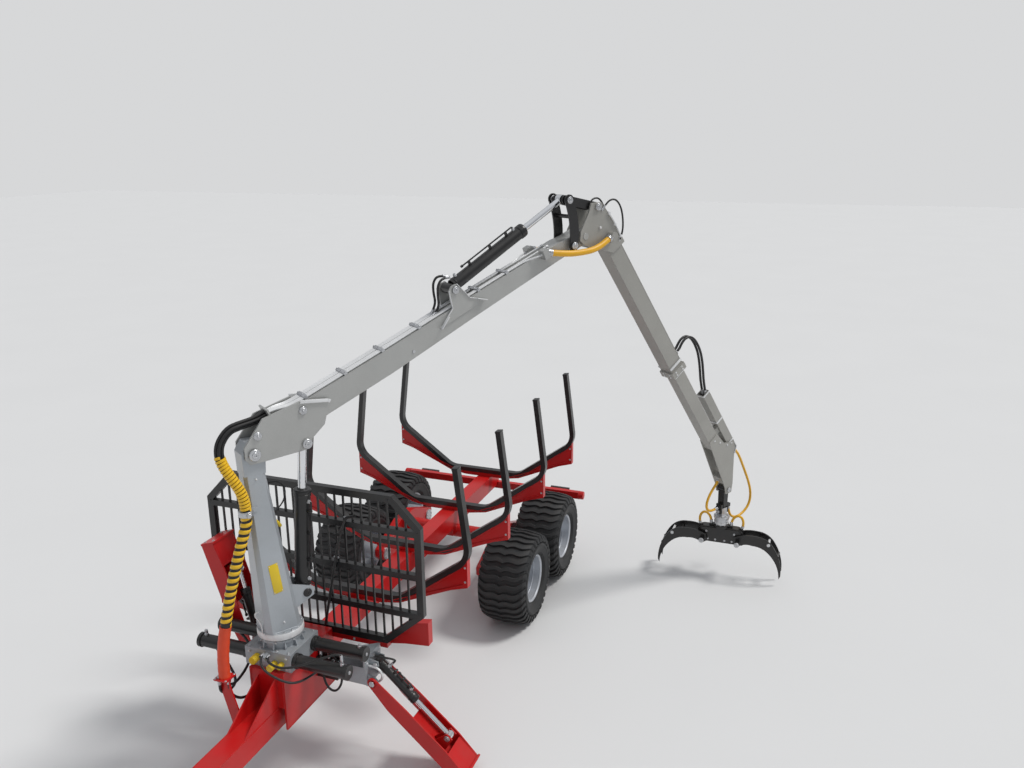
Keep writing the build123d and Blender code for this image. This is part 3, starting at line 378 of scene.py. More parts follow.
def buildRubber(name, look):
    material, tree, shader = startMaterial(name)
    dirty = placeGroup(tree, roadDirt, Clean=(*look["color"], 1), Dirt=(0.09, 0.08, 0.07, 1), Amount=look["dirt"])
    place = objectPlace(tree)
    grain = noise(tree, place, look["grain"], 3.0)
    scuff = noise(tree, place, 12.0, 6.0)
    shade = mixColor(tree, times(tree, ramp(tree, scuff, 0.45, 0.8), 0.25), dirty.outputs["Color"],
                     (0.5, 0.5, 0.5, 1), "SOFT_LIGHT")
    tree.links.new(shade, shader.inputs["Base Color"])
    dusty = plus(tree, times(tree, dirty.outputs["Mask"], 0.3), look["roughness"])
    tree.links.new(plus(tree, times(tree, grain, 0.15), dusty), shader.inputs["Roughness"])
    addBump(tree, shader, grain, look["bump"], 0.001)
    return material


def buildLens(name):
    material, tree, shader = startMaterial(name)
    prisms = addNode(tree, "ShaderNodeTexVoronoi", {"Vector": objectPlace(tree), "Scale": 90.0}).outputs[0]
    shade = mixColor(tree, ramp(tree, prisms, 0.0, 0.8), (0.34, 0.001, 0.004, 1), (0.09, 0.0, 0.001, 1))
    dirty = placeGroup(tree, roadDirt, Clean=shade, Amount=0.25)
    tree.links.new(dirty.outputs["Color"], shader.inputs["Base Color"])
    tree.links.new(plus(tree, times(tree, dirty.outputs["Mask"], 0.6), 0.12), shader.inputs["Roughness"])
    addBump(tree, shader, prisms, 0.4, 0.002)
    shader.inputs["Coat Weight"].default_value = 0.6
    return material


finish = {name: buildPaint(name, look) for name, look in paints.items()}
finish.update({name: buildRubber(name, look) for name, look in rubbers.items()})
finish["redLens"] = buildLens("redLens")
print("materials ready:", len(finish))

# Which finish each node of the frame gets, by how its name starts; the first that fits is used
nodeFinish = [
    ("tyre", "tyreRubber"), ("rim", "rimSilver"), ("lamp", "redLens"), ("stakes", "blackPaint"),
    ("headboard_foot", "redPaint"), ("headboard", "blackPaint"), ("slew_housing", "castGrey"),
    ("slew_cyl", "blackPaint"), ("outrigger_box", "blackPaint"), ("beam", "castGrey"), ("leg_barrel", "blackPaint"),
    ("leg_rod", "chromeRod"), ("leg", "redPaint"), ("lift_barrel", "blackPaint"), ("lift_rod", "chromeRod"),
    ("fold_barrel", "blackPaint"), ("fold_rod", "chromeRod"), ("pillar", "pillarGrey"), ("main_boom", "silverPaint"),
    ("outer_boom", "boomGrey"), ("telescope", "boomGrey"), ("rocker", "blackPaint"), ("coupler", "blackPaint"),
    ("hanger", "blackPaint"), ("rotator", "zincSteel"), ("grapple", "blackPaint"), ("claw", "blackPaint"),
    ("towing_eye", "castGrey"), ("hoses", "blackHose"), ("", "redPaint"),
]
for name, node in frame["nodes"].items():
    node.data.materials.clear()
    node.data.materials.append(finish[next(look for start, look in nodeFinish if name.startswith(start))])


# Mesh tools

def finishMesh(name, bm, look, smooth):
    bmesh.ops.recalc_face_normals(bm, faces=bm.faces)
    mesh = bpy.data.meshes.new(name)
    bm.to_mesh(mesh)
    bm.free()
    mesh.materials.append(finish[look])
    mesh.shade_smooth()
    mesh.set_sharp_from_angle(angle=math.radians(smooth))
    return mesh


def finishObject(name, bm, look, body=None, smooth=35.0):
    thing = bpy.data.objects.new(name, finishMesh(name, bm, look, smooth))
    bpy.context.scene.collection.objects.link(thing)
    if body:
        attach(thing, body)
    return thing


def anyAcross(axis):
    axis = Vector(axis).normalized()
    other = Vector((1, 0, 0)) if abs(axis.x) < 0.8 else Vector((0, 1, 0))
    first = axis.cross(other).normalized()
    return first, axis.cross(first).normalized()


def roundWay(count, start=0.0):
    # cosine and sine at even steps round a circle
    for k in range(count):
        angle = math.tau * (k + start) / count
        yield math.cos(angle), math.sin(angle)


def circle(bm, middle, first, second, radius, count):
    return [bm.verts.new(middle + (first * c + second * s) * radius) for c, s in roundWay(count)]


def skinRings(bm, rings, closed=False):
    # faces between rings of as many points; the ends are capped unless the last ring meets the first
    count = len(rings[0])
    for low, high in zip(rings, rings[1:] + (rings[:1] if closed else [])):
        for n in range(count):
            after = (n + 1) % count
            bm.faces.new((low[n], low[after], high[after], high[n]))
    if not closed:
        bm.faces.new(rings[0][::-1])
        bm.faces.new(rings[-1])


def addTurned(bm, centre, axis, profile, sides=24, ring=False):
    # profile: (radius, along the axis); a radius of 0 closes the end, a ring joins its last point to its first
    first, second = anyAcross(axis)
    axis = Vector(axis).normalized()
    rings = []
    for radius, along in profile:
        middle = Vector(centre) + axis * along
        rings.append(circle(bm, middle, first, second, radius, sides) if radius > 1e-6 else [bm.verts.new(middle)])
    for low, high in zip(rings, rings[1:] + (rings[:1] if ring else [])):
        for k in range(sides):
            after = (k + 1) % sides
            if len(low) == 1 and len(high) > 1:
                bm.faces.new((low[0], high[k], high[after]))
            elif len(high) == 1 and len(low) > 1:
                bm.faces.new((low[k], low[after], high[0]))
            elif len(low) > 1:
                bm.faces.new((low[k], low[after], high[after], high[k]))


def addCap(bm, centre, axis, radius, high, chamfer, sides=6, sunk=0.0):
    # a disc or hexagon with a chamfer, given as (in, down)
    addTurned(bm, centre, axis, [(0, -sunk), (radius, -sunk), (radius, high - chamfer[1]),
                                 (radius - chamfer[0], high), (0, high)], sides)


def addBolt(bm, centre, axis, size):
    # washer, hexagon head with its chamfer
    addTurned(bm, centre, axis, [(0, 0), (size * 1.15, 0), (size * 1.15, size * 0.16), (0, size * 0.16)], 20)
    addTurned(bm, centre, axis, [(0, size * 0.16), (size * 0.9, size * 0.16), (size * 0.9, size * 0.7),
                                 (size * 0.76, size * 0.84), (0, size * 0.84)], 6)


def addBoltCircle(bm, centre, first, second, out, radius, size, count, start=0.0):
    # bolts round a flange that lies along the first and second directions
    for c, s in roundWay(count, start):
        addBolt(bm, centre + (first * c + second * s) * radius, out, size)


def addPinHead(bm, centre, axis, radius):
    # the end of a pin: shoulder, face, centre hole and its grease nipple
    high = radius * 0.45
    addTurned(bm, centre, axis, [(0, 0), (radius * 1.35, 0), (radius * 1.35, high * 0.55), (radius * 1.25, high * 0.8),
                                 (radius * 0.8, high * 0.85), (radius * 0.72, high * 1.25), (radius * 0.3, high * 1.3),
                                 (radius * 0.22, high * 0.9), (0, high * 0.9)], 32)


def addBar(bm, start, end, wide, high, up=upward, bevel=0.0):
    start, end = Vector(start), Vector(end)
    way = (end - start).normalized()
    across = way.cross(Vector(up)).normalized()
    over = across.cross(way).normalized()
    corners = []
    for point in (start, end):
        for sx, sz in ((-1, -1), (1, -1), (1, 1), (-1, 1)):
            corners.append(bm.verts.new(point + across * sx * wide / 2 + over * sz * high / 2))
    faces = [bm.faces.new([corners[i] for i in order]) for order in
             ((3, 2, 1, 0), (4, 5, 6, 7), (0, 1, 5, 4), (1, 2, 6, 5), (2, 3, 7, 6), (3, 0, 4, 7))]
    if bevel:
        edges = list({edge for face in faces for edge in face.edges})
        bmesh.ops.bevel(bm, geom=edges, offset=bevel, segments=2, affect="EDGES", profile=0.5)


def splineLine(points, steps=10):
    # the points that the route's own NURBS spline runs through
    curve = bpy.data.curves.new("route", "CURVE")
    curve.dimensions = "3D"
    spline = curve.splines.new("NURBS")
    spline.points.add(len(points) - 1)
    for knot, point in zip(spline.points, points):
        knot.co = (*point, 1)
    spline.order_u = 3
    spline.use_endpoint_u = True
    spline.resolution_u = steps
    thing = bpy.data.objects.new("route", curve)
    mesh = bpy.data.meshes.new_from_object(thing)
    line = [vertex.co.copy() for vertex in mesh.vertices]
    bpy.data.objects.remove(thing)
    bpy.data.curves.remove(curve)
    bpy.data.meshes.remove(mesh)
    return line


def frames(line):
    # a direction and two across-directions at each point, carried along without twist
    ways = [(b - a).normalized() for a, b in zip(line, line[1:])]
    ways = [ways[0]] + [(a + b).normalized() for a, b in zip(ways, ways[1:])] + [ways[-1]]
    first, _ = anyAcross(ways[0])
    found = []
    for way in ways:
        first = (first - way * first.dot(way)).normalized()
        found.append((way, first, way.cross(first).normalized()))
    return found


def addTube(bm, line, radius, sides=20, swell=None):
    rings = []
    for k, (point, (_, first, second)) in enumerate(zip(line, frames(line))):
        rings.append(circle(bm, point, first, second, radius * swell(k) if swell else radius, sides))
    skinRings(bm, rings)


def evenly(line, step):
    # the line again with points a set distance apart
    found, left = [line[0].copy()], step
    for a, b in zip(line, line[1:]):
        long, done = (b - a).length, 0.0
        while long - done >= left:
            done += left
            found.append(a.lerp(b, done / long))
            left = step
        left -= long - done
    return found


def evenlyToEnd(line, step):
    found = evenly(line, step)
    if (found[-1] - line[-1]).length > step * 0.3:
        found.append(line[-1])
    return found


def addHelix(bm, line, radius, pitch, wide, thick):
    # a flat strip wound round the line, closed on all sides
    around = 24
    dense = evenly(line, pitch / around)
    rings = []
    for k, (point, (way, first, second)) in enumerate(zip(dense, frames(dense))):
        angle = math.tau * k / around
        out = first * math.cos(angle) + second * math.sin(angle)
        rings.append([bm.verts.new(point + out * r + way * d)
                      for r, d in ((radius, -wide / 2), (radius + thick, -wide * 0.36), (radius + thick, wide * 0.36),
                                   (radius, wide / 2))])
    skinRings(bm, rings)


def addWeld(bm, start, end, radius=0.0045):
    # a laid bead with its ripple
    start, end = Vector(start), Vector(end)
    count = max(4, int((end - start).length / 0.006))
    line = [start.lerp(end, k / count) for k in range(count + 1)]
    addTube(bm, line, radius, 8, lambda k: 1.0 + 0.16 * (k % 2))


def addRoundWeld(bm, centre, axis, ringRadius, radius=0.0045):
    first, second = anyAcross(axis)
    axis = Vector(axis).normalized()
    rings = []
    for k, (c, s) in enumerate(roundWay(max(24, int(math.tau * ringRadius / 0.007)))):
        out = first * c + second * s
        rings.append(circle(bm, Vector(centre) + out * ringRadius, out, axis, radius * (1.0 + 0.16 * (k % 2)), 8))
    skinRings(bm, rings, True)


# Hoses: the same routes as the solids, in metres
overHeel = [(-0.052, 0.224), (0.024, 0.210), (0.098, 0.190), (0.162, 0.176), (0.226, 0.176)]
routes = {
    "pillar": [cranePoint(*p) for p in (
        (-0.470, -0.060, 0.985), (-0.470, -0.060, 1.090), (-0.458, -0.066, 1.235), (-0.428, -0.077, 1.400),
        (-0.392, -0.088, 1.575), (-0.345, -0.097, 1.750), (-0.292, -0.103, 1.925), (-0.243, -0.108, 2.070),
        (-0.214, -0.110, 2.150), (-0.214, -0.110, 2.206))],
    "heel": [cranePoint(*p) for p in (
        (-0.214, -0.110, 2.242), (-0.214, -0.110, 2.300), (-0.230, -0.094, 2.385), (-0.270, -0.062, 2.475),
        (-0.310, -0.030, 2.560), (-0.332, -0.010, 2.650), (-0.314, 0.0, 2.735))]
        + [boomPoint(along, 0, up) for along, up in overHeel],
    "telescope": [(1.733, 0.110), (1.733, 0.158), (1.708, 0.212), (1.700, 0.272), (1.724, 0.330), (1.786, 0.368),
                  (1.872, 0.380), (1.975, 0.372), (2.080, 0.340), (2.185, 0.292), (2.290, 0.240), (2.425, 0.196)],
    "knuckle": [(-0.441, 0.108, -0.097), (-0.321, 0.135, -0.113), (-0.201, 0.150, -0.123), (-0.071, 0.152, -0.121),
                (0.039, 0.150, -0.111), (0.139, 0.142, -0.081), (0.209, 0.132, -0.047), (0.274, 0.125, -0.017)],
    "hangerOut": [outerPoint(3.140, -0.022, 0.186), outerPoint(3.220, -0.022, 0.188),
                  outerPoint(3.325, -0.020, 0.214)]
        + [tipPoint(*p) for p in (
            (0.200, -0.016, 0.345), (0.290, -0.012, 0.192), (0.400, -0.008, 0.0), (0.468, -0.004, -0.158),
            (0.468, -0.002, -0.295), (0.380, 0, -0.388), (0.250, 0, -0.418), (0.154, 0, -0.380), (0.108, 0, -0.302),
            (0.092, 0, -0.218))],
    "hangerIn": [tipPoint(*p) for p in (
        (-0.074, 0, 0.142), (-0.126, 0, 0.078), (-0.188, 0, 0.015), (-0.240, 0, -0.052), (-0.268, 0, -0.128),
        (-0.254, 0, -0.192), (-0.194, 0, -0.224), (-0.130, 0, -0.222), (-0.072, 0, -0.218))],
    "grapple": [(0.108, -0.016), (0.111, 0.042), (0.134, 0.092), (0.178, 0.122), (0.222, 0.098), (0.238, 0.038),
                (0.230, -0.012), (0.216, -0.044)],
}
ferrules = {
    # nut: shares of the hose's radius; crimp: three bands a pitch apart with grooves between them
    "large": {"sunk": 0.006, "nut": 1.35, "nutTop": 1.2, "nutHigh": 0.013, "band": 1.25, "groove": 1.15,
              "pitch": 0.014, "gap": 0.0006, "sides": 24, "aim": 2},
    "small": {"sunk": 0.004, "nut": 1.25, "nutTop": 1.1, "nutHigh": 0.012, "band": 1.22, "groove": 1.14,
              "pitch": 0.012, "gap": 0.0004, "sides": 20, "aim": 1},
}


def makeFerrules(name, line, r, bodies, size):
    # a hexagon nut and a crimped sleeve at each end that a body holds
    look = ferrules[size]
    for label, body, ordered in (("A", bodies[0], line), ("B", bodies[-1], line[::-1])):
        if not body:
            continue
        way = (ordered[look["aim"]] - ordered[0]).normalized()
        bm = bmesh.new()
        addTurned(bm, ordered[0], way, [(0, -look["sunk"]), (r * look["nut"], -look["sunk"]), (r * look["nut"], 0.010),
                                        (r * look["nutTop"], look["nutHigh"]), (0, look["nutHigh"])], 6)
        crimp = [(r + look["gap"], 0)]
        for low in (0.0, look["pitch"], look["pitch"] * 2):
            high = low + look["pitch"]
            crimp += [(r * look["band"], low or 0.001), (r * look["band"], high - 0.004),
                      (r * look["groove"], high - 0.002)]
        crimp[-1] = (r + look["gap"], look["pitch"] * 3 - 0.002)
        addTurned(bm, ordered[0] + way * (look["nutHigh"] - 0.001), way, crimp, look["sides"], True)
        finishObject(name + "Ferrule" + label, bm, "zincSteel", body, 30)


def makeHose(name, line, radius, look, bodies, step=0.012, sides=20):
    # held by one body, or left unattached where it runs between two
    bm = bmesh.new()
    addTube(bm, evenlyToEnd(line, step), radius, sides)
    return holdHose(finishObject(name, bm, look, None, 60.0), bodies)


def holdHose(thing, bodies):
    if len(bodies) == 1:
        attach(thing, bodies[0])
    else:
        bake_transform(thing)
    return thing


def makeSmallHose(name, points, radius, bodies, ends=True):
    line = splineLine(points, 12)
    makeHose(name, line, radius, "blackHose", bodies, 0.010)
    if ends:
        makeFerrules(name, line, radius, bodies, "small")


bundle = {
    "radius": 0.040,
    "sleeveOver": 0.002,
    "sleeveTop": 0.86,
    "sleeveRipple": 0.03,
    "spiralThick": 0.004,
    "spiralPitch": 0.052,
    "spiralWide": 0.030,
    "heelRadius": 0.036,
    "heelCore": 0.018,
    "strands": 5,
    "strandRadius": 0.0126,
    "strandOut": 0.0222,
    "strandTwist": 0.010,
    "heelSpiralTop": 2.09,
    "heelSpiral": (0.024, 0.021, 0.005),
}


def makePillarBundle():
    # a red sleeve at the foot, then black hoses in a yellow spiral guard
    bodies = ("chassis", "pillar")
    line = splineLine(routes["pillar"], 14)
    core = bundle["radius"] - bundle["spiralThick"]
    inner = makeHose("pillarBundle", line, core, "blackHose", bodies, 0.010, 28)
    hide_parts("hoses_pillar")
    bm = bmesh.new()
    addHelix(bm, [p for p in line if p.z > bundle["sleeveTop"] - 0.02], core, bundle["spiralPitch"],
             bundle["spiralWide"], bundle["spiralThick"])
    holdHose(finishObject("pillarSpiral", bm, "yellowSpiral", None, 50.0), bodies)
    bm = bmesh.new()
    addTube(bm, evenly([p for p in line if p.z <= bundle["sleeveTop"]], 0.012), bundle["radius"] + bundle["sleeveOver"],
            28, lambda k: 1 + bundle["sleeveRipple"] * math.sin(k * 1.7) * math.sin(k * 0.6))
    holdHose(finishObject("pillarSleeve", bm, "redSleeve", None, 60.0), bodies)


def makeHeelBundle():
    # over the heel: five bare strands round a core, with a yellow spiral on the lower part
    bodies = ("pillar", "main_boom")
    line = splineLine(routes["heel"], 14)
    dense = evenlyToEnd(line, 0.012)
    bm = bmesh.new()
    addTube(bm, dense, bundle["heelCore"], 12)
    for strand in range(bundle["strands"]):
        run = []
        for k, (point, (_, first, second)) in enumerate(zip(dense, frames(dense))):
            turn = math.tau * strand / bundle["strands"] + k * bundle["strandTwist"]
            run.append(point + (first * math.cos(turn) + second * math.sin(turn)) * bundle["strandOut"])
        addTube(bm, run, bundle["strandRadius"], 16)
    bend = holdHose(finishObject("heelBundle", bm, "blackHose", None, 60.0), bodies)
    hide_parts("hoses_heel")
    bm = bmesh.new()
    addHelix(bm, [p for p in line if p.z <= bundle["heelSpiralTop"]], bundle["heelRadius"] - 0.002,
             *bundle["heelSpiral"])
    holdHose(finishObject("heelSpiral", bm, "yellowSpiral", None, 50.0), bodies)


craneHoses = {
    # bodies: the body that holds it, or the two it runs between, where it is left unattached; fittings: what holds the
    # ferrule at either end
    "knuckle": {"radius": 0.0265, "look": "yellowHose", "slot": "hose_sleeve_yellow", "step": 0.006, "sides": 24,
                "bodies": ("main_boom", "outer_boom"), "fittings": ("main_boom", "outer_boom")},
    "telescope": {"radius": 0.0125, "look": "blackHose", "slot": "hose_rubber", "step": 0.012, "sides": 20,
                  "bodies": ("outer_boom", "telescope"), "fittings": (None, "telescope"), "out": 0.021},
    "hanger": {"radius": 0.0135, "look": "yellowHose", "slot": "hose_sleeve_yellow", "step": 0.012, "sides": 20,
               "bodies": ("telescope", "hanger"), "fittings": ("telescope", "hanger")},
    "grapple": {"radius": 0.0135, "look": "yellowHose", "slot": "hose_sleeve_yellow", "step": 0.010, "sides": 20,
                "bodies": ("grapple_body",), "fittings": ("grapple_body", "grapple_body")},
}


def makeCraneHose(kind, label, points, replacing, fittingLabel=None):
    look = craneHoses[kind]
    line = splineLine(points, 12)
    thing = makeHose(f"{kind}Hose{label}", line, look["radius"], look["look"], look["bodies"], look["step"],
                     look["sides"])
    if replacing:
        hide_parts("hoses_" + kind)
    makeFerrules(kind + (fittingLabel or label), line, look["radius"], look["fittings"], "large")


def makeCraneHoses():
    for side, label, end in ((-1, "Near", "Left"), (1, "Far", "Right")):
        out = side * craneHoses["telescope"]["out"]
        makeCraneHose("knuckle", label, [pinPoint((knuckle[0] + r, knuckle[1] + z), side * w)
                                         for r, w, z in routes["knuckle"]], side < 0)
        makeCraneHose("telescope", label, [outerPoint(t, out, v) for t, v in routes["telescope"]], side < 0)
        makeCraneHose("grapple", end, [grabPoint(side * u, 0, grabTop + z) for u, z in routes["grapple"]], side < 0,
                      label)
    makeCraneHose("hanger", "Out", routes["hangerOut"], True)
    makeCraneHose("hanger", "In", routes["hangerIn"], False)


makePillarBundle()
makeHeelBundle()
makeCraneHoses()
print("hoses ready")

# Tyres: rounded carcass with waved lugs from shoulder to shoulder
tyre = {
    "radius": 0.470,
    "treadRadius": 0.449,
    "halfWide": 0.245,
    "rimRadius": 0.235,
    "shoulderDrop": 0.040,
    "around": 136,
    "lugs": 34,
    "lugWide": 0.050,
    "lugSteps": 30,
    "chevron": 0.050,
    "wave": 0.014,
    "sideRibs": 72,
    "ribFrom": 0.372,
    "ribTo": 0.392,
    "ribThick": 0.006,
    "track": 1.850,
    "spacing": 1.020,
    "bogieX": -3.120,
}
wheels = [
    (f"{end}_{name}", side, trailerPoint(tyre["bogieX"] + sx * tyre["spacing"] / 2, side * tyre["track"] / 2,
                                         tyre["radius"]))
    for end, sx in (("front", 1), ("rear", -1)) for name, side in (("left", 1), ("right", -1))
]


def crownDrop(y):
    # how far the tread falls away towards the shoulder
    return tyre["shoulderDrop"] * abs(y / tyre["halfWide"]) ** 3.2


def addCarcass(bm):
    h, r0, r1 = tyre["halfWide"], tyre["rimRadius"], tyre["treadRadius"]
    # bead, rim guard, side wall with its raised line, shoulder: radius past the rim's, in from the widest
    wall = [(-0.002, 0.060), (0.002, 0.046), (0.012, 0.036), (0.018, 0.034), (0.021, 0.026), (0.028, 0.022),
            (0.031, 0.015), (0.040, 0.012), (0.070, 0.004), (0.098, 0), (0.102, -0.0025), (0.108, -0.0025),
            (0.112, 0), (0.136, 0.004), (0.150, 0.010)]
    side = [(r0 + past, h - inside) for past, inside in wall]
    crown = [(r1 - crownDrop(y) - 0.001, y)
             for y in (h - 0.022, h - 0.040, h - 0.065, h - 0.095, h - 0.140, 0.050, 0.0)]
    profile = [(r, -y) for r, y in side + crown] + [(r, y) for r, y in (side + crown[:-1])[::-1]]
    profile += [(r0 - 0.002, y) for y in (h - 0.075, 0, 0.075 - h)]
    addTurned(bm, (0, 0, 0), (0, 1, 0), profile, tyre["around"], True)


def addLug(bm, base):
    h, sections = tyre["halfWide"], []
    for step in range(tyre["lugSteps"] + 1):
        s = step / tyre["lugSteps"] * 2 - 1
        y = s * (h + 0.016)
        past = max(0.0, abs(y) - (h - 0.012))
        y = math.copysign(min(abs(y), h - 0.002), y)
        top = tyre["radius"] - 0.0015 - crownDrop(y) - past * 2.6
        foot = tyre["treadRadius"] - 0.010 - crownDrop(y) - past * 2.6
        swing = tyre["chevron"] * abs(s) ** 1.3 + tyre["wave"] * math.sin(abs(s) * math.tau * 1.25) + 0.010 * s
        half = tyre["lugWide"] * (0.40 + 0.07 * abs(s)) * (0.8 if abs(s) > 0.97 else 1.0)
        section = []
        for radius, offset in ((foot, -half), (top - 0.002, -half * 0.84), (top, -half * 0.72), (top, half * 0.72),
                               (top - 0.002, half * 0.84), (foot, half)):
            angle = base + (swing + offset) / radius
            section.append(bm.verts.new((radius * math.cos(angle), y, radius * math.sin(angle))))
        sections.append(section)
    skinRings(bm, sections)


def addSideRibs(bm):
    across = Vector((0, 1, 0))
    for c, s in roundWay(tyre["sideRibs"]):
        out = Vector((c, 0, s))
        for side in (-1, 1):
            y = side * (tyre["halfWide"] - 0.0045)
            addBar(bm, out * tyre["ribFrom"] + across * y, out * tyre["ribTo"] + across * (y - side * 0.006),
                   tyre["ribThick"], tyre["ribThick"], out.cross(across))


def makeTyres():
    bm = bmesh.new()
    addCarcass(bm)
    for k in range(tyre["lugs"]):
        addLug(bm, math.tau * k / tyre["lugs"])
    addSideRibs(bm)
    mesh = finishMesh("tyre", bm, "tyreRubber", 32)
    for name, _, middle in wheels:
        thing = bpy.data.objects.new(f"tyre_{name}_tread", mesh)
        bpy.context.scene.collection.objects.link(thing)
        thing.location = middle
        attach(thing, f"wheel_{name}")
        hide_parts(f"tyre_{name}")


makeTyres()
print("tyres ready")

# Rims: hub cap, nuts, valve, rolled edges and the beads pressed into the well
rim = {
    "nuts": 8,
    "nutRing": 0.0785,
    "nutAt": -0.010,
    "hubAt": 0.019,
    "valveTurn": math.tau * 0.17,
    "valveOut": 0.205,
    "edgeAt": 0.190,
    "wellBeads": (0.045, 0.120),
    "discAt": -0.0295,
}
rimProfiles = {
    "hub": [(0, 0), (0.054, 0), (0.054, 0.010), (0.048, 0.014), (0.046, 0.040), (0.040, 0.050), (0.016, 0.054),
            (0, 0.054)],
    "nut": [(0, 0), (0.013, 0), (0.013, 0.012), (0.0105, 0.014), (0.0105, 0.026), (0.009, 0.028), (0.0065, 0.028),
            (0.0065, 0.040), (0, 0.041)],
    "valve": [(0, 0), (0.009, 0), (0.006, 0.012), (0.004, 0.014), (0.004, 0.036), (0.0052, 0.038), (0.0052, 0.048),
              (0, 0.049)],
    "edge": [(0.219, -0.004), (0.236, 0.0), (0.241, 0.006), (0.241, 0.012), (0.236, 0.016), (0.226, 0.013),
             (0.219, 0.004)],
    "bead": [(0.2205, -0.007), (0.2165, -0.005), (0.2145, 0.0), (0.2165, 0.005), (0.2205, 0.007)],
    "disc": [(0.150, -0.004), (0.156, 0.0015), (0.165, 0.003), (0.172, 0.0035), (0.174, -0.004)],
}


def makeRims():
    for name, side, middle in wheels:
        out = Vector((0, side, 0))
        bm = bmesh.new()
        addTurned(bm, middle + out * rim["hubAt"], out, rimProfiles["hub"], 36)
        for c, s in roundWay(rim["nuts"], 0.5):
            addTurned(bm, middle + Vector((c, 0, s)) * rim["nutRing"] + out * rim["nutAt"], out, rimProfiles["nut"], 6)
        spoke = Vector((math.cos(rim["valveTurn"]), 0, math.sin(rim["valveTurn"])))
        addTurned(bm, middle + spoke * rim["valveOut"] + out * 0.01, out - spoke * 0.5, rimProfiles["valve"], 14)
        finishObject(f"rimNuts_{name}", bm, "zincSteel", f"wheel_{name}")
        bm = bmesh.new()
        for face in (1, -1):
            addTurned(bm, middle + out * face * rim["edgeAt"], out * face, rimProfiles["edge"], 96, True)
        for along in rim["wellBeads"]:
            addTurned(bm, middle + out * along, out, rimProfiles["bead"], 72, True)
        addTurned(bm, middle + out * rim["discAt"], out, rimProfiles["disc"], 72, True)
        finishObject(f"rimEdge_{name}", bm, "rimSilver", f"wheel_{name}")


makeRims()

# Outriggers: places across the trailer, the legs' angles and what hangs on them
legs = {
    "x": -0.315,
    "reach": {1: 0.580, -1: 0.392},
    "slope": {1: -42.0, -1: 72.0},
    "hingeOut": 0.070,
    "hingeZ": 0.720,
    "headRise": 0.125,
    "lug": (0.700, 0.088),
    "half": 0.125,
    "long": 0.9823,
    "barrelLong": 0.410,
    "flangeOut": 0.0135,
    "flangeBolts": ((-0.085, 0.680), (-0.085, 0.860), (-0.030, 0.860), (0.030, 0.860), (0.085, 0.680),
                    (0.085, 0.860), (-0.110, 0.893), (0.110, 0.893)),
    "guard": [(0, 0), (0.050, 0.004), (0.105, -0.020), (0.125, -0.075), (0.095, -0.120), (0.035, -0.140),
              (0, -0.145)],
    "guardFoot": (0.066, 0.010, 0.830),
    "seams": (((0.43, -0.058), (0.96, -0.056)), ((0.79, 0.050), (0.97, 0.044))),
    "sole": [(sx * 0.095, sy) for sx in (-1, 1) for sy in (-0.045, 0.035)],
}


def legPoint(side, along, up, x=0.0):
    y, z = ahead((legs["reach"][side] + legs["hingeOut"], legs["hingeZ"]), legs["slope"][side], along, up)
    return trailerPoint(legs["x"] + x, side * y, z)


def legHead(side):
    return trailerPoint(legs["x"], side * (legs["reach"][side] + legs["hingeOut"]), legs["hingeZ"] + legs["headRise"])


# Pins: a head on both ends of every pin that shows
pins = [
    # body, centre, axis, half length, radius
    ("pillar", pinPoint(crane["boomPin"]), sideways, 0.104, 0.032),
    ("pillar", pinPoint(crane["liftFoot"]), sideways, 0.084, 0.025),
    ("main_boom", pinPoint(liftEye), sideways, 0.101, 0.028),
    ("main_boom", pinPoint(foldFoot), sideways, 0.096, 0.022),
    ("main_boom", pinPoint(rockerFoot), sideways, 0.122, 0.024),
    ("rocker", pinPoint(rockerTop), sideways, 0.120, 0.022),
    ("outer_boom", pinPoint(headEye), sideways, 0.104, 0.024),
    ("telescope", pinPoint(tipPin), sideways, 0.074, 0.019),
    ("rotator", cranePoint(tipPin[0], 0, crossPinZ), radial, 0.072, 0.016),
    ("grapple_body", grabPoint(crane["jawOut"], 0, jawZ), jawSide, 0.150, 0.021),
    ("grapple_body", grabPoint(-crane["jawOut"], 0, jawZ), jawSide, 0.150, 0.021),
    ("beam_left", legPoint(1, 0, 0), forward, 0.133, 0.017),
    ("beam_right", legPoint(-1, 0, 0), forward, 0.133, 0.017),
    ("beam_left", legHead(1), forward, 0.062, 0.014),
    ("beam_right", legHead(-1), forward, 0.062, 0.014),
    ("leg_left", legPoint(1, *legs["lug"]), forward, 0.044, 0.018),
    ("leg_right", legPoint(-1, *legs["lug"]), forward, 0.044, 0.018),
]


def makePins():
    for index, (body, centre, axis, half, radius) in enumerate(pins):
        bm = bmesh.new()
        for side in (-1, 1):
            addPinHead(bm, centre + axis * side * (half - 0.001), axis * side, radius)
        painted = centre == pinPoint(crane["liftFoot"])
        finishObject(f"pinHeads_{index}", bm, "blackPaint" if painted else "zincSteel", body)


makePins()
print("pins ready")

# Cylinders: gland, collar, ports with their pipe
cylinders = [
    # name, body, foot, rod's eye, barrel radius, rod radius, barrel's start, gland, side of the ports
    ("lift", "lift_barrel", pinPoint(crane["liftFoot"]), pinPoint(liftEye), 0.060, 0.032, 0.055, 0.800,
     radial * 0.4 - sideways),
    ("fold", "fold_barrel", pinPoint(foldFoot), pinPoint(rockerTop), 0.052, 0.028, 0.050, 0.835, upward),
    ("legLeft", "leg_barrel_left", legHead(1), legPoint(1, *legs["lug"]), 0.036, 0.020, 0.040, legs["barrelLong"],
     Vector((0, 1, 1))),
    ("legRight", "leg_barrel_right", legHead(-1), legPoint(-1, *legs["lug"]), 0.036, 0.020, 0.040, legs["barrelLong"],
     Vector((0, -1, 1))),
]
cylinderPipe = {"radius": 0.0065, "off": 0.030, "clips": (0.25, 0.6, 0.88)}


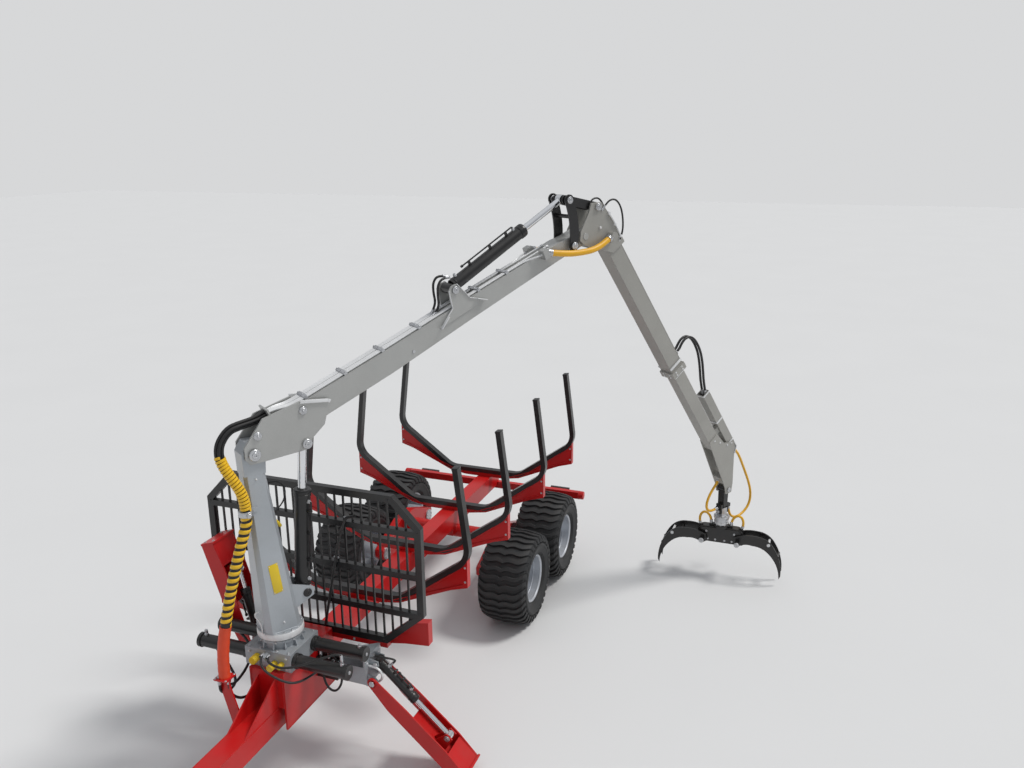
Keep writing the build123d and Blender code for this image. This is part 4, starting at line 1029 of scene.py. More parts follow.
def addGland(bm, centre, way, barrel, rod):
    addTurned(bm, centre, way, [
        (barrel - 0.002, -0.052), (barrel + 0.0045, -0.050), (barrel + 0.0055, -0.046), (barrel + 0.0055, -0.030),
        (barrel + 0.003, -0.028), (barrel + 0.003, -0.024), (barrel + 0.0055, -0.022), (barrel + 0.0055, -0.004),
        (barrel + 0.001, 0.005), (rod + 0.007, 0.006), (rod + 0.005, 0.010), (rod + 0.0015, 0.011),
        (rod + 0.0015, 0.001), (barrel - 0.004, 0.0008)], 40, True)


def dressCylinder(name, body, foot, eye, barrel, rod, start, gland, portSide):
    way = (eye - foot).normalized()
    up = (portSide - way * portSide.dot(way)).normalized()
    bm = bmesh.new()
    addGland(bm, foot + way * gland, way, barrel, rod)
    addTurned(bm, foot + way * (start + 0.012), way, [
        (barrel - 0.002, -0.006), (barrel + 0.003, -0.004), (barrel + 0.004, 0.0), (barrel + 0.003, 0.004),
        (barrel - 0.002, 0.006)], 40, True)
    finishObject(name + "Gland", bm, "blackPaint", body)
    bm = bmesh.new()
    low, high = foot + way * (start + 0.045), foot + way * (gland - 0.085)
    for spot in (low, high):
        addCap(bm, spot + up * (barrel - 0.004), up, 0.015, 0.016, (0.003, 0.002), 16)
        addCap(bm, spot + up * (barrel + 0.011), up, 0.0125, 0.012, (0.0025, 0.002))
    finishObject(name + "Ports", bm, "zincSteel", body)
    bm = bmesh.new()
    lift = barrel + cylinderPipe["off"]
    pipe = splineLine([high + up * (barrel + 0.012), high + up * (lift - 0.004), high - way * 0.006 + up * lift,
                       high - way * 0.04 + up * lift, low + way * 0.16 + up * lift, low + way * 0.10 + up * lift], 8)
    addTube(bm, pipe, cylinderPipe["radius"], 14)
    for share in cylinderPipe["clips"]:
        spot = low.lerp(high, share) + up * (barrel + 0.012)
        addBar(bm, spot - way * 0.008, spot + way * 0.008, 0.030, 0.036, up, 0.002)
    addCap(bm, pipe[-1], -way, 0.011, 0.018, (0.002, 0.002), 6, 0.002)
    finishObject(name + "Pipes", bm, "blackPaint", body)


for cylinder in cylinders:
    dressCylinder(*cylinder)
print("cylinders ready")

# Pillar: an eight-sided column that leans and tapers, with its ring, plate, hook, clamp and cable
pillar = {
    "footZ": 1.225,
    "headZ": 2.470,
    "footHalf": 0.130,
    "headHalf": 0.068,
    "footMiddle": -0.011,
    "headMiddle": -0.109,
    "bolts": 16,
    "boltRing": 0.155,
    "ringZ": 1.171,
    "ring": [(0.168, 0.001), (0.172, 0.002), (0.174, 0.010), (0.174, 0.042), (0.171, 0.052), (0.164, 0.0545),
             (0.164, 0.052), (0.168, 0.050)],
    "plateFoot": (0.004, 1.542),
    "plateTop": (-0.002, 1.772),
    "plateWide": 0.072,
    "plateThick": 0.003,
    "nipplesZ": (1.30, 2.44),
    "nipple": [(0, 0), (0.007, 0), (0.007, 0.006), (0.0035, 0.008), (0.003, 0.014), (0.0045, 0.017), (0, 0.021)],
    "hook": [(-0.158, 1.222), (-0.158, 1.275), (-0.176, 1.330), (-0.205, 1.372), (-0.198, 1.405), (-0.168, 1.400)],
    "clamp": (-0.214, -0.110, 2.224),
    "clampEar": 0.060,
    "plug": (0.038, 0.036, 2.050),
    "cable": [(0.000, 0.075, 2.330), (0.050, 0.090, 2.330), (0.130, 0.095, 2.310), (0.165, 0.090, 2.230),
              (0.130, 0.075, 2.150), (0.060, 0.055, 2.110), (0.030, 0.040, 2.070), (0.036, 0.036, 2.052)],
    "foot": [(-0.110, -0.130), (0.088, -0.130), (0.128, -0.090), (0.128, 0.090), (0.088, 0.130), (-0.110, 0.130),
             (-0.150, 0.090), (-0.150, -0.090), (-0.110, -0.130)],
}


def addSeam(bm, points, radius):
    for a, b in zip(points, points[1:]):
        addWeld(bm, a, b, radius)


def pillarFace(along, z):
    # a spot on the face that the plate is on
    t = (z - pillar["footZ"]) / (pillar["headZ"] - pillar["footZ"])
    half = pillar["footHalf"] + (pillar["headHalf"] - pillar["footHalf"]) * t
    middle = pillar["footMiddle"] + (pillar["headMiddle"] - pillar["footMiddle"]) * t
    return cranePoint(middle + along, -half, z)


def makePillarPlate():
    out = -sideways
    start, end = pillarFace(*pillar["plateFoot"]), pillarFace(*pillar["plateTop"])
    bm = bmesh.new()
    addBar(bm, start + out * 0.0016, end + out * 0.0016, pillar["plateWide"], pillar["plateThick"], out, 0.0008)
    finishObject("pillarPlate", bm, "yellowPaint", "pillar")
    # its rivets, the grease nipples on the same face and the hook low on the column
    bm = bmesh.new()
    across = (end - start).normalized().cross(out).normalized()
    for share in (0.04, 0.96):
        for side in (-1, 1):
            addTurned(bm, start.lerp(end, share) + across * side * 0.030 + out * 0.003, out,
                      [(0, 0), (0.004, 0), (0.0035, 0.0015), (0, 0.0022)], 12)
    for z in pillar["nipplesZ"]:
        addTurned(bm, pillarFace(0.0, z), out, pillar["nipple"], 12)
    addTube(bm, splineLine([cranePoint(r, -0.05, z) for r, z in pillar["hook"]], 8), 0.006, 12)
    finishObject("pillarSmall", bm, "whiteSteel", "pillar")


def makePillarFoot():
    bm = bmesh.new()
    addBoltCircle(bm, cranePoint(0, 0, pillar["footZ"] - 0.0005), radial, sideways, upward, pillar["boltRing"], 0.0085,
                  pillar["bolts"], 0.5)
    finishObject("pillarBolts", bm, "zincSteel", "pillar")
    bm = bmesh.new()
    addTurned(bm, cranePoint(0, 0, pillar["ringZ"]), upward, pillar["ring"], 72, True)
    finishObject("pillarRing", bm, "whiteSteel", "pillar")
    bm = bmesh.new()
    addSeam(bm, [cranePoint(r, w, pillar["footZ"] + 0.0025) for r, w in pillar["foot"]], 0.005)
    finishObject("pillarWeld", bm, "pillarGrey", "pillar")


def makeBundleClamp():
    # two halves round the hose bundle, with ears and bolts
    bm = bmesh.new()
    middle = cranePoint(*pillar["clamp"])
    addTurned(bm, middle, upward, [(0.046, -0.020), (0.050, -0.020), (0.0515, -0.016), (0.0515, 0.016),
                                   (0.050, 0.020), (0.046, 0.020)], 40, True)
    for side in (-1, 1):
        ear = middle + sideways * side * pillar["clampEar"]
        addBar(bm, ear - radial * 0.012, ear + radial * 0.012, 0.018, 0.034, upward, 0.002)
        for face in (1, -1):
            addBolt(bm, ear + radial * face * 0.012, radial * face, 0.007)
    finishObject("bundleClamp", bm, "zincSteel", "pillar")


def makePillarCable():
    bm = bmesh.new()
    addTurned(bm, cranePoint(*pillar["plug"]), radial * 0.7 - upward, [
        (0, 0), (0.011, 0), (0.013, 0.006), (0.013, 0.030), (0.016, 0.032), (0.016, 0.048), (0.013, 0.050),
        (0.013, 0.070), (0.009, 0.078), (0, 0.078)], 20)
    finishObject("pillarPlug", bm, "yellowPaint", "pillar")
    makeSmallHose("pillarCable", [cranePoint(*p) for p in pillar["cable"]], 0.0055, ("pillar",), False)


makePillarFoot()
makePillarPlate()
makeBundleClamp()
makePillarCable()
print("pillar ready")

# Main boom: pipes on top with their saddles, folded edges on heel and ears, bosses and welds
foldX, foldUp = crane["foldFoot"]
boom = {
    "topLine": [(0.300, 0.132), (0.620, 0.128), (1.200, 0.112), (2.000, 0.104), (3.0337, 0.080)],
    "lowLine": [(0.300, -0.052), (0.620, -0.060), (1.200, -0.072), (2.000, -0.060), (3.0337, -0.055)],
    "pipeRadius": 0.0075,
    "pipeLanes": (-0.054, -0.034, -0.014, 0.014, 0.034, 0.054),
    "pipeAbove": 0.011,
    "saddles": (0.52, 0.86, 1.20, 1.55, 2.15, 2.45),
    "saddleWide": 0.136,
    "heelTop": [(0.480, 2.915), (0.460, 2.925), (0.250, 2.950)],
    "heelWeld": [(0.330, 2.660), (0.430, 2.745), (0.480, 2.915)],
    "earFront": [(foldX - 0.245, 0.020), (foldX - 0.085, 0.110), (foldX - 0.055, foldUp + 0.020)],
    "earRear": [(foldX + 0.225, 0.020), (foldX + 0.095, 0.110), (foldX + 0.030, foldUp + 0.038)],
    "heelBosses": ((-0.075, 2.760), (0.270, 2.880)),
    "sideBoss": (1.42, -0.020),
}


def addEdging(bm, points, wide, high, up=None):
    # a folded edge along the points, square to the plate unless it has a direction of its own
    for a, b in zip(points, points[1:]):
        addBar(bm, a, b, wide, high, (b - a).cross(sideways) if up is None else up, 0.001)


def boomTop(along):
    line = boom["topLine"]
    for (a0, u0), (a1, u1) in zip(line, line[1:]):
        if along <= a1:
            return u0 + (u1 - u0) * (along - a0) / (a1 - a0)
    return line[-1][1]


def onTop(along, w, above):
    return boomPoint(along, w, boomTop(along) + above)


def boomPipeRun(w):
    # up from the heel, along the top, and off at the side, at the knuckle or at the fold cylinder
    above = boom["pipeAbove"]
    run = [boomPoint(0.232, w * 0.5, 0.186), boomPoint(0.275, w * 0.62, 0.184), boomPoint(0.340, w * 0.9, 0.165),
           onTop(0.40, w, above + 0.004)]
    run += [onTop(along, w, above) for along in (0.50, 0.62, 0.90, 1.20, 1.60)]
    if abs(w) < 0.02:
        return run + [onTop(1.72, w, above)]
    run.append(onTop(2.00, w, above))
    if abs(w) < 0.04:
        return run + [onTop(along, w, above) for along in (2.40, 2.80, 2.93)]
    side = math.copysign(1, w)
    return run + [onTop(2.50, w, above), onTop(2.62, w, above), onTop(2.68, side * 0.070, above),
                  onTop(2.73, side * 0.092, 0.006), boomPoint(2.775, side * 0.104, 0.088),
                  boomPoint(2.812, side * 0.108, 0.084)]


def makeBoomPipes():
    bm = bmesh.new()
    for w in boom["pipeLanes"]:
        run = boomPipeRun(w)
        addTube(bm, splineLine(run, 8), boom["pipeRadius"], 14)
        addCap(bm, run[-1], run[-1] - run[-2], 0.011, 0.006, (0.002, 0.002), 6, 0.02)
    finishObject("boomPipes", bm, "whiteSteel", "main_boom", 50)
    bm = bmesh.new()
    half = boom["saddleWide"] / 2
    for along in boom["saddles"]:
        addBar(bm, onTop(along, -half, 0.021), onTop(along, half, 0.021), 0.030, 0.005, boomUp, 0.001)
        for w in (-half + 0.002, 0.0, half - 0.002):
            addBar(bm, onTop(along, w - 0.003, 0.009), onTop(along, w + 0.003, 0.009), 0.028, 0.020, boomUp)
            addBolt(bm, onTop(along, w, 0.0235), boomUp, 0.0065)
    finishObject("boomSaddles", bm, "zincSteel", "main_boom")


def makeBoomEdges():
    bm = bmesh.new()
    for side in (-1, 1):
        addEdging(bm, [cranePoint(r, side * 0.103, z) for r, z in boom["heelTop"]], 0.006, 0.026, boomUp)
        for corners in (boom["earFront"], boom["earRear"]):
            points = [boomPoint(along, side * 0.0905, up) for along, up in corners]
            addEdging(bm, points, 0.012, 0.005)
            # a stiffening rib up the ear from the boom
            low, high = points[:2]
            out = sideways * side * 0.012
            addBar(bm, low + out, low.lerp(high, 0.62) + out, 0.030, 0.006, (high - low).cross(sideways), 0.0015)
    finishObject("boomFoldedEdges", bm, "whiteSteel", "main_boom")
    bm = bmesh.new()
    for side in (-1, 1):
        out = sideways * side
        for place in boom["heelBosses"]:
            centre = pinPoint(place, side * 0.0905)
            addTurned(bm, centre, out, [(0, 0), (0.031, 0), (0.031, 0.007), (0.027, 0.012), (0.021, 0.012),
                                        (0.019, 0.0145), (0, 0.0145)], 32)
            addBolt(bm, centre + out * 0.014, out, 0.012)
        along, up = boom["sideBoss"]
        addTurned(bm, boomPoint(along, side * 0.074, up), out, [(0, 0), (0.012, 0), (0.012, 0.008), (0, 0.008)], 20)
    finishObject("boomBosses", bm, "zincSteel", "main_boom")
    bm = bmesh.new()
    for side in (-1, 1):
        addSeam(bm, [boomPoint(along, side * 0.0745, up + 0.0005) for along, up in boom["lowLine"]], 0.0028)
        addSeam(bm, [boomPoint(along, side * 0.0765, 0.020) for along in (foldX - 0.245, foldX + 0.225)], 0.004)
        addSeam(bm, [cranePoint(r, side * 0.0770, z) for r, z in boom["heelWeld"]], 0.004)
    finishObject("boomWelds", bm, "silverPaint", "main_boom")


makeBoomPipes()
makeBoomEdges()
print("boom details ready")

# Small hoses at the fold cylinder and the knuckle; their points are shares of a spacing or metres off a pin
foldHoseLift = {"A": 0.0, "B": 0.020}
headHose = [(0.045, 0.096, -0.030), (0.075, 0.104, 0.010), (0.125, 0.108, 0.055), (0.195, 0.110, 0.055),
            (0.252, 0.112, -0.010), (0.280, 0.112, -0.110), (0.292, 0.104, -0.215), (0.272, 0.090, -0.300),
            (0.250, 0.078, -0.335)]


def makeKnuckleHoses():
    for label, w in (("A", -0.014), ("B", 0.014)):
        lift = foldHoseLift[label]
        makeSmallHose("foldHose" + label, [
            onTop(1.715, w, 0.014), onTop(1.755, w, 0.020 + lift), boomPoint(1.800, w * 1.4, 0.170 + lift),
            boomPoint(1.815, w * 1.8, 0.240 + lift), boomPoint(1.850, w * 2.0, 0.320 + lift),
            boomPoint(1.915, w * 1.6, 0.345 + lift), boomPoint(1.975, w, 0.318)], 0.0095,
            ("main_boom", "fold_barrel"))
    for label, side in (("Near", -1), ("Far", 1)):
        makeSmallHose("headHose" + label, [pinPoint((headEye[0] + r, headEye[1] + z), side * w)
                                           for r, w, z in headHose], 0.008, ("outer_boom",))


makeKnuckleHoses()
print("crane hoses ready")

# Outer boom: collar at its end, clip at the loop's foot, fittings on the head plate, welds
outer = {
    "tubeEnd": 1.900,
    "collarBolts": (-0.052, -0.018),
    "collarRibs": ((-0.120, 0.022, 0.014), (0.002, 0.010, 0.012)),
    "clip": (1.716, 1.750),
    "headNuts": ((0.040, -0.055), (0.180, -0.045), (-0.120, 0.035)),
    "headPipe": [(-0.020, 0.104, 0.085), (0.060, 0.106, 0.094), (0.160, 0.106, 0.094), (0.260, 0.104, 0.088)],
    "headClips": (0.0, 0.12, 0.25),
}


def makeOuterDetails():
    end = outer["tubeEnd"]
    bm = bmesh.new()
    for step in outer["collarBolts"]:
        for side in (-1, 1):
            for v in (-0.045, 0.045):
                addBolt(bm, outerPoint(end + step, side * 0.086, v), sideways * side, 0.0085)
            for w in (-0.040, 0.040):
                addBolt(bm, outerPoint(end + step, w, side * 0.096), outerUp * side, 0.0085)
    for step, wide, high in outer["collarRibs"]:
        for side in (-1, 1):
            addBar(bm, outerPoint(end + step, side * 0.080, -0.085), outerPoint(end + step, side * 0.080, 0.085),
                   wide, high, sideways, 0.002)
    clipStart, clipEnd = outer["clip"]
    addBar(bm, outerPoint(clipStart, 0, 0.112), outerPoint(clipEnd, 0, 0.112), 0.075, 0.006, outerUp, 0.001)
    for w in (-0.032, 0.0, 0.032):
        addBolt(bm, outerPoint((clipStart + clipEnd) / 2, w, 0.115), outerUp, 0.007)
    finishObject("collarParts", bm, "whiteSteel", "outer_boom")
    bm = bmesh.new()
    for side in (-1, 1):
        for t, v in outer["headNuts"]:
            addCap(bm, outerPoint(t, side * 0.0935, v), sideways * side, 0.013, 0.013, (0.003, 0.003))
        addTube(bm, splineLine([outerPoint(t, side * w, v) for t, w, v in outer["headPipe"]], 8), 0.007, 12)
        for t in outer["headClips"]:
            addBar(bm, outerPoint(t - 0.008, side * 0.100, 0.091), outerPoint(t + 0.008, side * 0.100, 0.091), 0.020,
                   0.024, outerUp, 0.001)
    finishObject("headFittings", bm, "whiteSteel", "outer_boom")
    bm = bmesh.new()
    for side in (-1, 1):
        for v in (-0.0792, 0.0792):
            addWeld(bm, outerPoint(0.14, side * 0.0695, v), outerPoint(end - 0.075, side * 0.0695, v), 0.0024)
        addWeld(bm, outerPoint(end - 0.071, side * 0.072, -0.080), outerPoint(end - 0.071, side * 0.072, 0.080), 0.004)
    finishObject("outerWelds", bm, "boomGrey", "outer_boom")


# Telescope: bands round the hose guard, bolts and edges of the nose plates
nose = {
    "guardFrom": 2.395,
    "guardTo": 3.215,
    "guardLow": 0.140,
    "guardHigh": 0.236,
    "guardHalf": 0.046,
    "bolts": ((2.930, 0.0), (3.010, 0.050), (3.150, 0.180), (3.120, 0.120)),
    "edge": [(3.180, 0.216), (3.240, 0.216), (3.290, 0.150)],
    "weldAt": 2.895,
}


def makeTelescopeDetails():
    low, high, half = nose["guardLow"], nose["guardHigh"], nose["guardHalf"]
    bm = bmesh.new()
    for t, wide in ((nose["guardFrom"] + 0.010, 0.016), ((nose["guardFrom"] + nose["guardTo"]) / 2, 0.020),
                    (nose["guardTo"] - 0.070, 0.016)):
        for side, v in ((-1, low - 0.002), (1, high + 0.002)):
            addBar(bm, outerPoint(t, side * (half + 0.002), low - 0.003),
                   outerPoint(t, side * (half + 0.002), high + 0.003), 0.004, wide, outerWay, 0.001)
            addBar(bm, outerPoint(t, -half - 0.003, v), outerPoint(t, half + 0.003, v), 0.004, wide, outerWay, 0.001)
        addBolt(bm, outerPoint(t, 0, high + 0.004), outerUp, 0.006)
    for side in (-1, 1):
        for t, v in nose["bolts"]:
            addBolt(bm, outerPoint(t, side * 0.067, v), sideways * side, 0.009)
    finishObject("guardBands", bm, "whiteSteel", "telescope")
    bm = bmesh.new()
    for side in (-1, 1):
        addEdging(bm, [outerPoint(t, side * 0.070, v) for t, v in nose["edge"]], 0.010, 0.006)
        addWeld(bm, outerPoint(nose["weldAt"], side * 0.0582, -0.060), outerPoint(nose["weldAt"], side * 0.0582, 0.060),
                0.004)
    finishObject("noseEdges", bm, "whiteSteel", "telescope")


# Knuckle: washers at the rocker's foot, rings round its pins, welds
def makeKnuckleDetails():
    bm = bmesh.new()
    for side in (-1, 1):
        addTurned(bm, pinPoint(rockerFoot, side * 0.0985), sideways * side,
                  [(0.026, -0.006), (0.040, -0.006), (0.040, 0.0008), (0.026, 0.0008)], 32, True)
        addRoundWeld(bm, pinPoint(rockerTop, side * 0.0995), sideways, 0.024, 0.004)
    finishObject("rockerWashers", bm, "zincSteel", "main_boom")
    bm = bmesh.new()
    for side in (-1, 1):
        for pin, hole in ((rockerFoot, 0.0265), (rockerTop, 0.023)):
            addTurned(bm, pinPoint(pin, side * 0.114), sideways * side, [
                (hole, 0.0), (0.040, 0.0), (0.040, 0.0035), (0.037, 0.0050), (hole, 0.0050)], 36, True)
    finishObject("rockerRings", bm, "blackPaint", "rocker")


makeOuterDetails()
makeTelescopeDetails()
makeKnuckleDetails()
print("outer boom details ready")

# Base: bolts and ports of the slew housing and cylinders, dust caps, hoses round the base and their bracket
base = {
    "topBolts": (0.165, (0.070, 0.170), 1.0945),
    "faceBolts": (0.185, 0.160, (1.062, 0.975)),
    "cylinderX": 0.125,
    "cylinderZ": 1.020,
    "cylinderEnd": 0.6545,
    "portY": 0.600,
    "nipples": 8,
    "nippleRing": 0.160,
    "nippleZ": 1.155,
    "dustCaps": (((0.186, -0.090, 1.030), 0.030, 0.070), ((0.186, 0.060, 1.000), 0.027, 0.075),
                 ((0.186, 0.125, 1.010), 0.020, 0.050)),
    "capRidges": 5,
    "bracketZ": 0.985,
    "bracketNuts": ((0.395, -0.235), (0.455, -0.235), (0.425, -0.180)),
    "bracketBolts": ((0.380, -0.160), (0.475, -0.160), (0.380, -0.252), (0.475, -0.252)),
}
baseHoses = [
    (0.0105, [(0.395, -0.235, 0.972), (0.395, -0.235, 0.930), (0.360, -0.240, 0.860), (0.270, -0.245, 0.820),
              (0.120, -0.255, 0.850), (-0.020, -0.300, 0.900), (-0.100, -0.420, 0.955), (-0.118, -0.560, 1.020),
              (-0.122, -0.600, 1.090), (-0.125, -0.600, 1.108)]),
    (0.0105, [(0.455, -0.235, 0.972), (0.455, -0.235, 0.930), (0.440, -0.245, 0.850), (0.330, -0.265, 0.780),
              (0.200, -0.290, 0.780), (0.140, -0.400, 0.860), (0.120, -0.520, 0.960), (0.118, -0.590, 1.060),
              (0.122, -0.600, 1.085), (0.125, -0.600, 1.108)]),
    (0.0105, [(0.425, -0.180, 0.972), (0.425, -0.180, 0.930), (0.420, -0.175, 0.840), (0.330, -0.165, 0.740),
              (0.200, -0.165, 0.700), (0.000, -0.170, 0.690), (-0.150, -0.172, 0.690), (-0.200, -0.172, 0.700)]),
    (0.009, [(0.205, 0.030, 1.075), (0.235, 0.035, 1.078), (0.285, 0.080, 1.070), (0.290, 0.190, 1.050),
             (0.235, 0.320, 1.070), (0.170, 0.470, 1.130), (0.130, 0.570, 1.160), (0.125, 0.598, 1.140),
             (0.125, 0.600, 1.108)]),
    (0.009, [(0.205, -0.020, 1.075), (0.245, -0.020, 1.080), (0.330, 0.050, 1.040), (0.320, 0.200, 0.970),
             (0.260, 0.300, 0.930), (0.020, 0.330, 0.900), (-0.140, 0.340, 0.880), (-0.195, 0.330, 0.862)]),
    (0.009, [(-0.125, 0.250, 0.972), (-0.125, 0.252, 0.940), (-0.105, 0.265, 0.840), (-0.080, 0.310, 0.690),
             (-0.085, 0.390, 0.650), (-0.105, 0.445, 0.740), (-0.112, 0.430, 0.860), (-0.135, 0.360, 0.925),
             (-0.192, 0.282, 0.915), (-0.200, 0.272, 0.862)]),
]


def addDustCap(bm, spot, radius, long):
    profile = [(0, 0), (radius, 0)]
    ridge = long / base["capRidges"]
    for k in range(base["capRidges"]):
        for share, width in ((0.15, 1.0), (0.35, 0.86), (0.65, 0.86), (0.85, 1.0)):
            profile.append((radius * width, ridge * (k + share)))
    addTurned(bm, spot, forward, profile + [(radius * 0.9, long), (0, long)], 28)


def makeBase():
    bm = bmesh.new()
    topX, topYs, topZ = base["topBolts"]
    faceX, faceY, faceZs = base["faceBolts"]
    for sx in (-1, 1):
        for side in (-1, 1):
            for y in topYs:
                addBolt(bm, trailerPoint(sx * topX, side * y, topZ), upward, 0.011)
            for z in faceZs:
                addBolt(bm, trailerPoint(sx * faceX, side * faceY, z), forward * sx, 0.011)
            x, z = sx * base["cylinderX"], base["cylinderZ"]
            addCap(bm, trailerPoint(x, side * base["cylinderEnd"], z), Vector((0, side, 0)), 0.015, 0.009,
                   (0.004, 0.003))
            addTurned(bm, trailerPoint(x, side * base["portY"], z + 0.047), upward,
                      [(0, 0), (0.016, 0), (0.016, 0.014), (0.012, 0.018), (0.012, 0.028), (0, 0.028)], 6)
    for c, s in roundWay(base["nipples"], 22 / 45):
        addTurned(bm, trailerPoint(base["nippleRing"] * c, base["nippleRing"] * s, base["nippleZ"]), Vector((c, s, 0)),
                  [(0, 0), (0.007, 0), (0.007, 0.012), (0.004, 0.014), (0.004, 0.020), (0, 0.021)], 10)
    finishObject("housingBolts", bm, "zincSteel", "chassis")
    bm = bmesh.new()
    for spot, radius, long in base["dustCaps"]:
        addDustCap(bm, trailerPoint(*spot), radius, long)
    finishObject("yellowCaps", bm, "yellowPaint", "chassis")
    for index, (radius, run) in enumerate(baseHoses):
        makeSmallHose(f"baseHose{index}", [trailerPoint(*p) for p in run], radius, ("chassis",))
    bm = bmesh.new()
    for x, y in base["bracketNuts"]:
        addCap(bm, trailerPoint(x, y, base["bracketZ"] + 0.001), upward, 0.016, 0.013, (0.003, 0.003))
    for x, y in base["bracketBolts"]:
        addBolt(bm, trailerPoint(x, y, base["bracketZ"] - 0.0005), upward, 0.008)
    finishObject("bracketFittings", bm, "zincSteel", "chassis")


makeBase()
print("base ready")


# Outriggers: flange bolts, guard loops over the cylinder heads, welds, sole bolts and the cylinder's hose
def makeLegDetails():
    for name, side in (("left", 1), ("right", -1)):
        out, reach = Vector((0, side, 0)), legs["reach"][side]
        bm = bmesh.new()
        for x, z in legs["flangeBolts"]:
            addBolt(bm, trailerPoint(legs["x"] + x, side * (reach + legs["flangeOut"]), z), out, 0.009)
        footX, footOut, footZ = legs["guardFoot"]
        for sx in (-1, 1):
            foot = trailerPoint(legs["x"] + sx * footX, side * (reach + footOut), footZ)
            addTube(bm, splineLine([foot + out * y + upward * z for y, z in legs["guard"]], 8), 0.0095, 14)
        finishObject(f"beamFittings_{name}", bm, "whiteSteel", f"beam_{name}")
        bm = bmesh.new()
        for sx in (-1, 1):
            addRoundWeld(bm, legPoint(side, 0, 0, sx * (legs["half"] + 0.0005)), forward, 0.036, 0.004)
            for seam in legs["seams"]:
                addSeam(bm, [legPoint(side, *place, sx * (legs["half"] - 0.014)) for place in seam], 0.004)
        finishObject(f"legWelds_{name}", bm, "redPaint", f"leg_{name}")
        bm = bmesh.new()
        for x, up in legs["sole"]:
            addBolt(bm, legPoint(side, legs["long"] + 0.0155, up, x), legPoint(side, 1, 0) - legPoint(side, 0, 0), 0.010)
        finishObject(f"soleBolts_{name}", bm, "zincSteel", f"leg_{name}")
        head = legHead(side)
        way = (legPoint(side, *legs["lug"]) - head).normalized()
        up = Vector((0, side, 1))
        up = (up - way * up.dot(way)).normalized()
        port = head + way * 0.085 + up * 0.050
        start = trailerPoint(legs["x"] + 0.030, side * (reach + 0.012), 0.895)
        makeSmallHose("legHose_" + name, [
            start, start + Vector((0, side * 0.030, 0.012)), start + Vector((0, side * 0.095, 0.010)),
            port + up * 0.085, port + up * 0.040, port], 0.008, ("beam_" + name, "leg_barrel_" + name))


makeLegDetails()

# Bunks and stakes: caps on the stakes, bolts through the wings, welds and a rib along each wing
load = {
    "bunks": (-1.110, -2.060, -3.090, -4.105),
    "stakeTop": (0.985, 2.195),
    "stakeBend": (1.085, 1.400),
    "stakeDeep": 0.070,
    "stakeThick": 0.048,
    "wingY": 1.053,
    "wingBolts": (1.20, 1.33),
    "wingWeld": ((0.470, 0.9125), (0.935, 1.2600)),
    "footWeld": ((0.084, 0.8625), (0.240, 0.8625)),
    "rib": ((0.300, 0.880), (1.030, 1.172)),
}


def makeLoadDetails():
    caps, bolts, ribs = bmesh.new(), bmesh.new(), bmesh.new()
    (topY, topZ), (bendY, bendZ) = load["stakeTop"], load["stakeBend"]
    for x in load["bunks"]:
        for side in (-1, 1):
            way = Vector((0, side * (topY - bendY), topZ - bendZ)).normalized()
            spot = trailerPoint(x, side * topY, topZ)
            addBar(caps, spot - way * 0.012, spot + way * 0.006, load["stakeThick"] + 0.006, load["stakeDeep"] + 0.006,
                   forward, 0.003)
            for sx in (-1, 1):
                for z in load["wingBolts"]:
                    addBolt(bolts, trailerPoint(x + sx * 0.0295, side * load["wingY"], z), forward * sx, 0.009)
                addSeam(ribs, [trailerPoint(x + sx * 0.0355, side * y, z) for y, z in load["wingWeld"]], 0.004)
                addSeam(ribs, [trailerPoint(x + sx * 0.029, side * y, z) for y, z in load["footWeld"]], 0.004)
                start, end = [trailerPoint(x + sx * 0.033, side * y, z) for y, z in load["rib"]]
                addBar(ribs, start, end, 0.008, 0.012, forward, 0.001)
    finishObject("stakeCaps", caps, "blackPaint", "chassis")
    finishObject("bunkBolts", bolts, "zincSteel", "chassis")
    finishObject("bunkRibs", ribs, "redPaint", "chassis")


makeLoadDetails()

# Headboard: welds where bars meet rails, bolts at the foot, clips for the slim rod
headboard = {
    "bars": 12,
    "pitch": 0.076,
    "rails": (1.190, 1.520, 1.880),
    "frontX": -0.4715,
    "corners": ((0.640, 0.900), (0.970, 1.190), (0.970, 1.930), (0.735, 2.170)),
    "footBolts": ((0.12, 0.880), (0.34, 0.880), (0.56, 0.880)),
    "rearBolts": ((0.86, 0.98), (0.93, 1.06)),
    "rodClips": ((0.133, 1.172), (0.227, 1.584), (0.341, 1.941)),
}


def makeHeadboardDetails():
    front = headboard["frontX"]
    bm = bmesh.new()
    for k in range(-headboard["bars"], headboard["bars"] + 1):
        y = k * headboard["pitch"]
        for z in headboard["rails"]:
            for side in (-1, 1):
                edge = z + side * 0.0245
                addWeld(bm, trailerPoint(front - 0.019, y - 0.008, edge), trailerPoint(front - 0.019, y + 0.008, edge),
                        0.003)
    for side in (-1, 1):
        for y, z in headboard["corners"]:
            addRoundWeld(bm, trailerPoint(front, side * (y - 0.030), z + (0.03 if z < 1.5 else -0.03)), forward, 0.004,
                         0.0025)
    finishObject("headboardWelds", bm, "blackPaint", "chassis")
    bm = bmesh.new()
    for side in (-1, 1):
        for y, z in headboard["footBolts"]:
            addBolt(bm, trailerPoint(front - 0.001, side * y, z), forward, 0.010)
        for y, z in headboard["rearBolts"]:
            addBolt(bm, trailerPoint(-0.592, side * y, z), -forward, 0.011)
    for y, z in headboard["rodClips"]:
        spot = trailerPoint(front, y, z)
        addBar(bm, spot - Vector((0, 0.022, 0)), spot + Vector((0, 0.022, 0)), 0.016, 0.006, forward, 0.001)
        for side in (-1, 1):
            addBolt(bm, spot + Vector((0.0025, side * 0.019, 0)), forward, 0.005)
    finishObject("headboardBolts", bm, "zincSteel", "chassis")


makeHeadboardDetails()

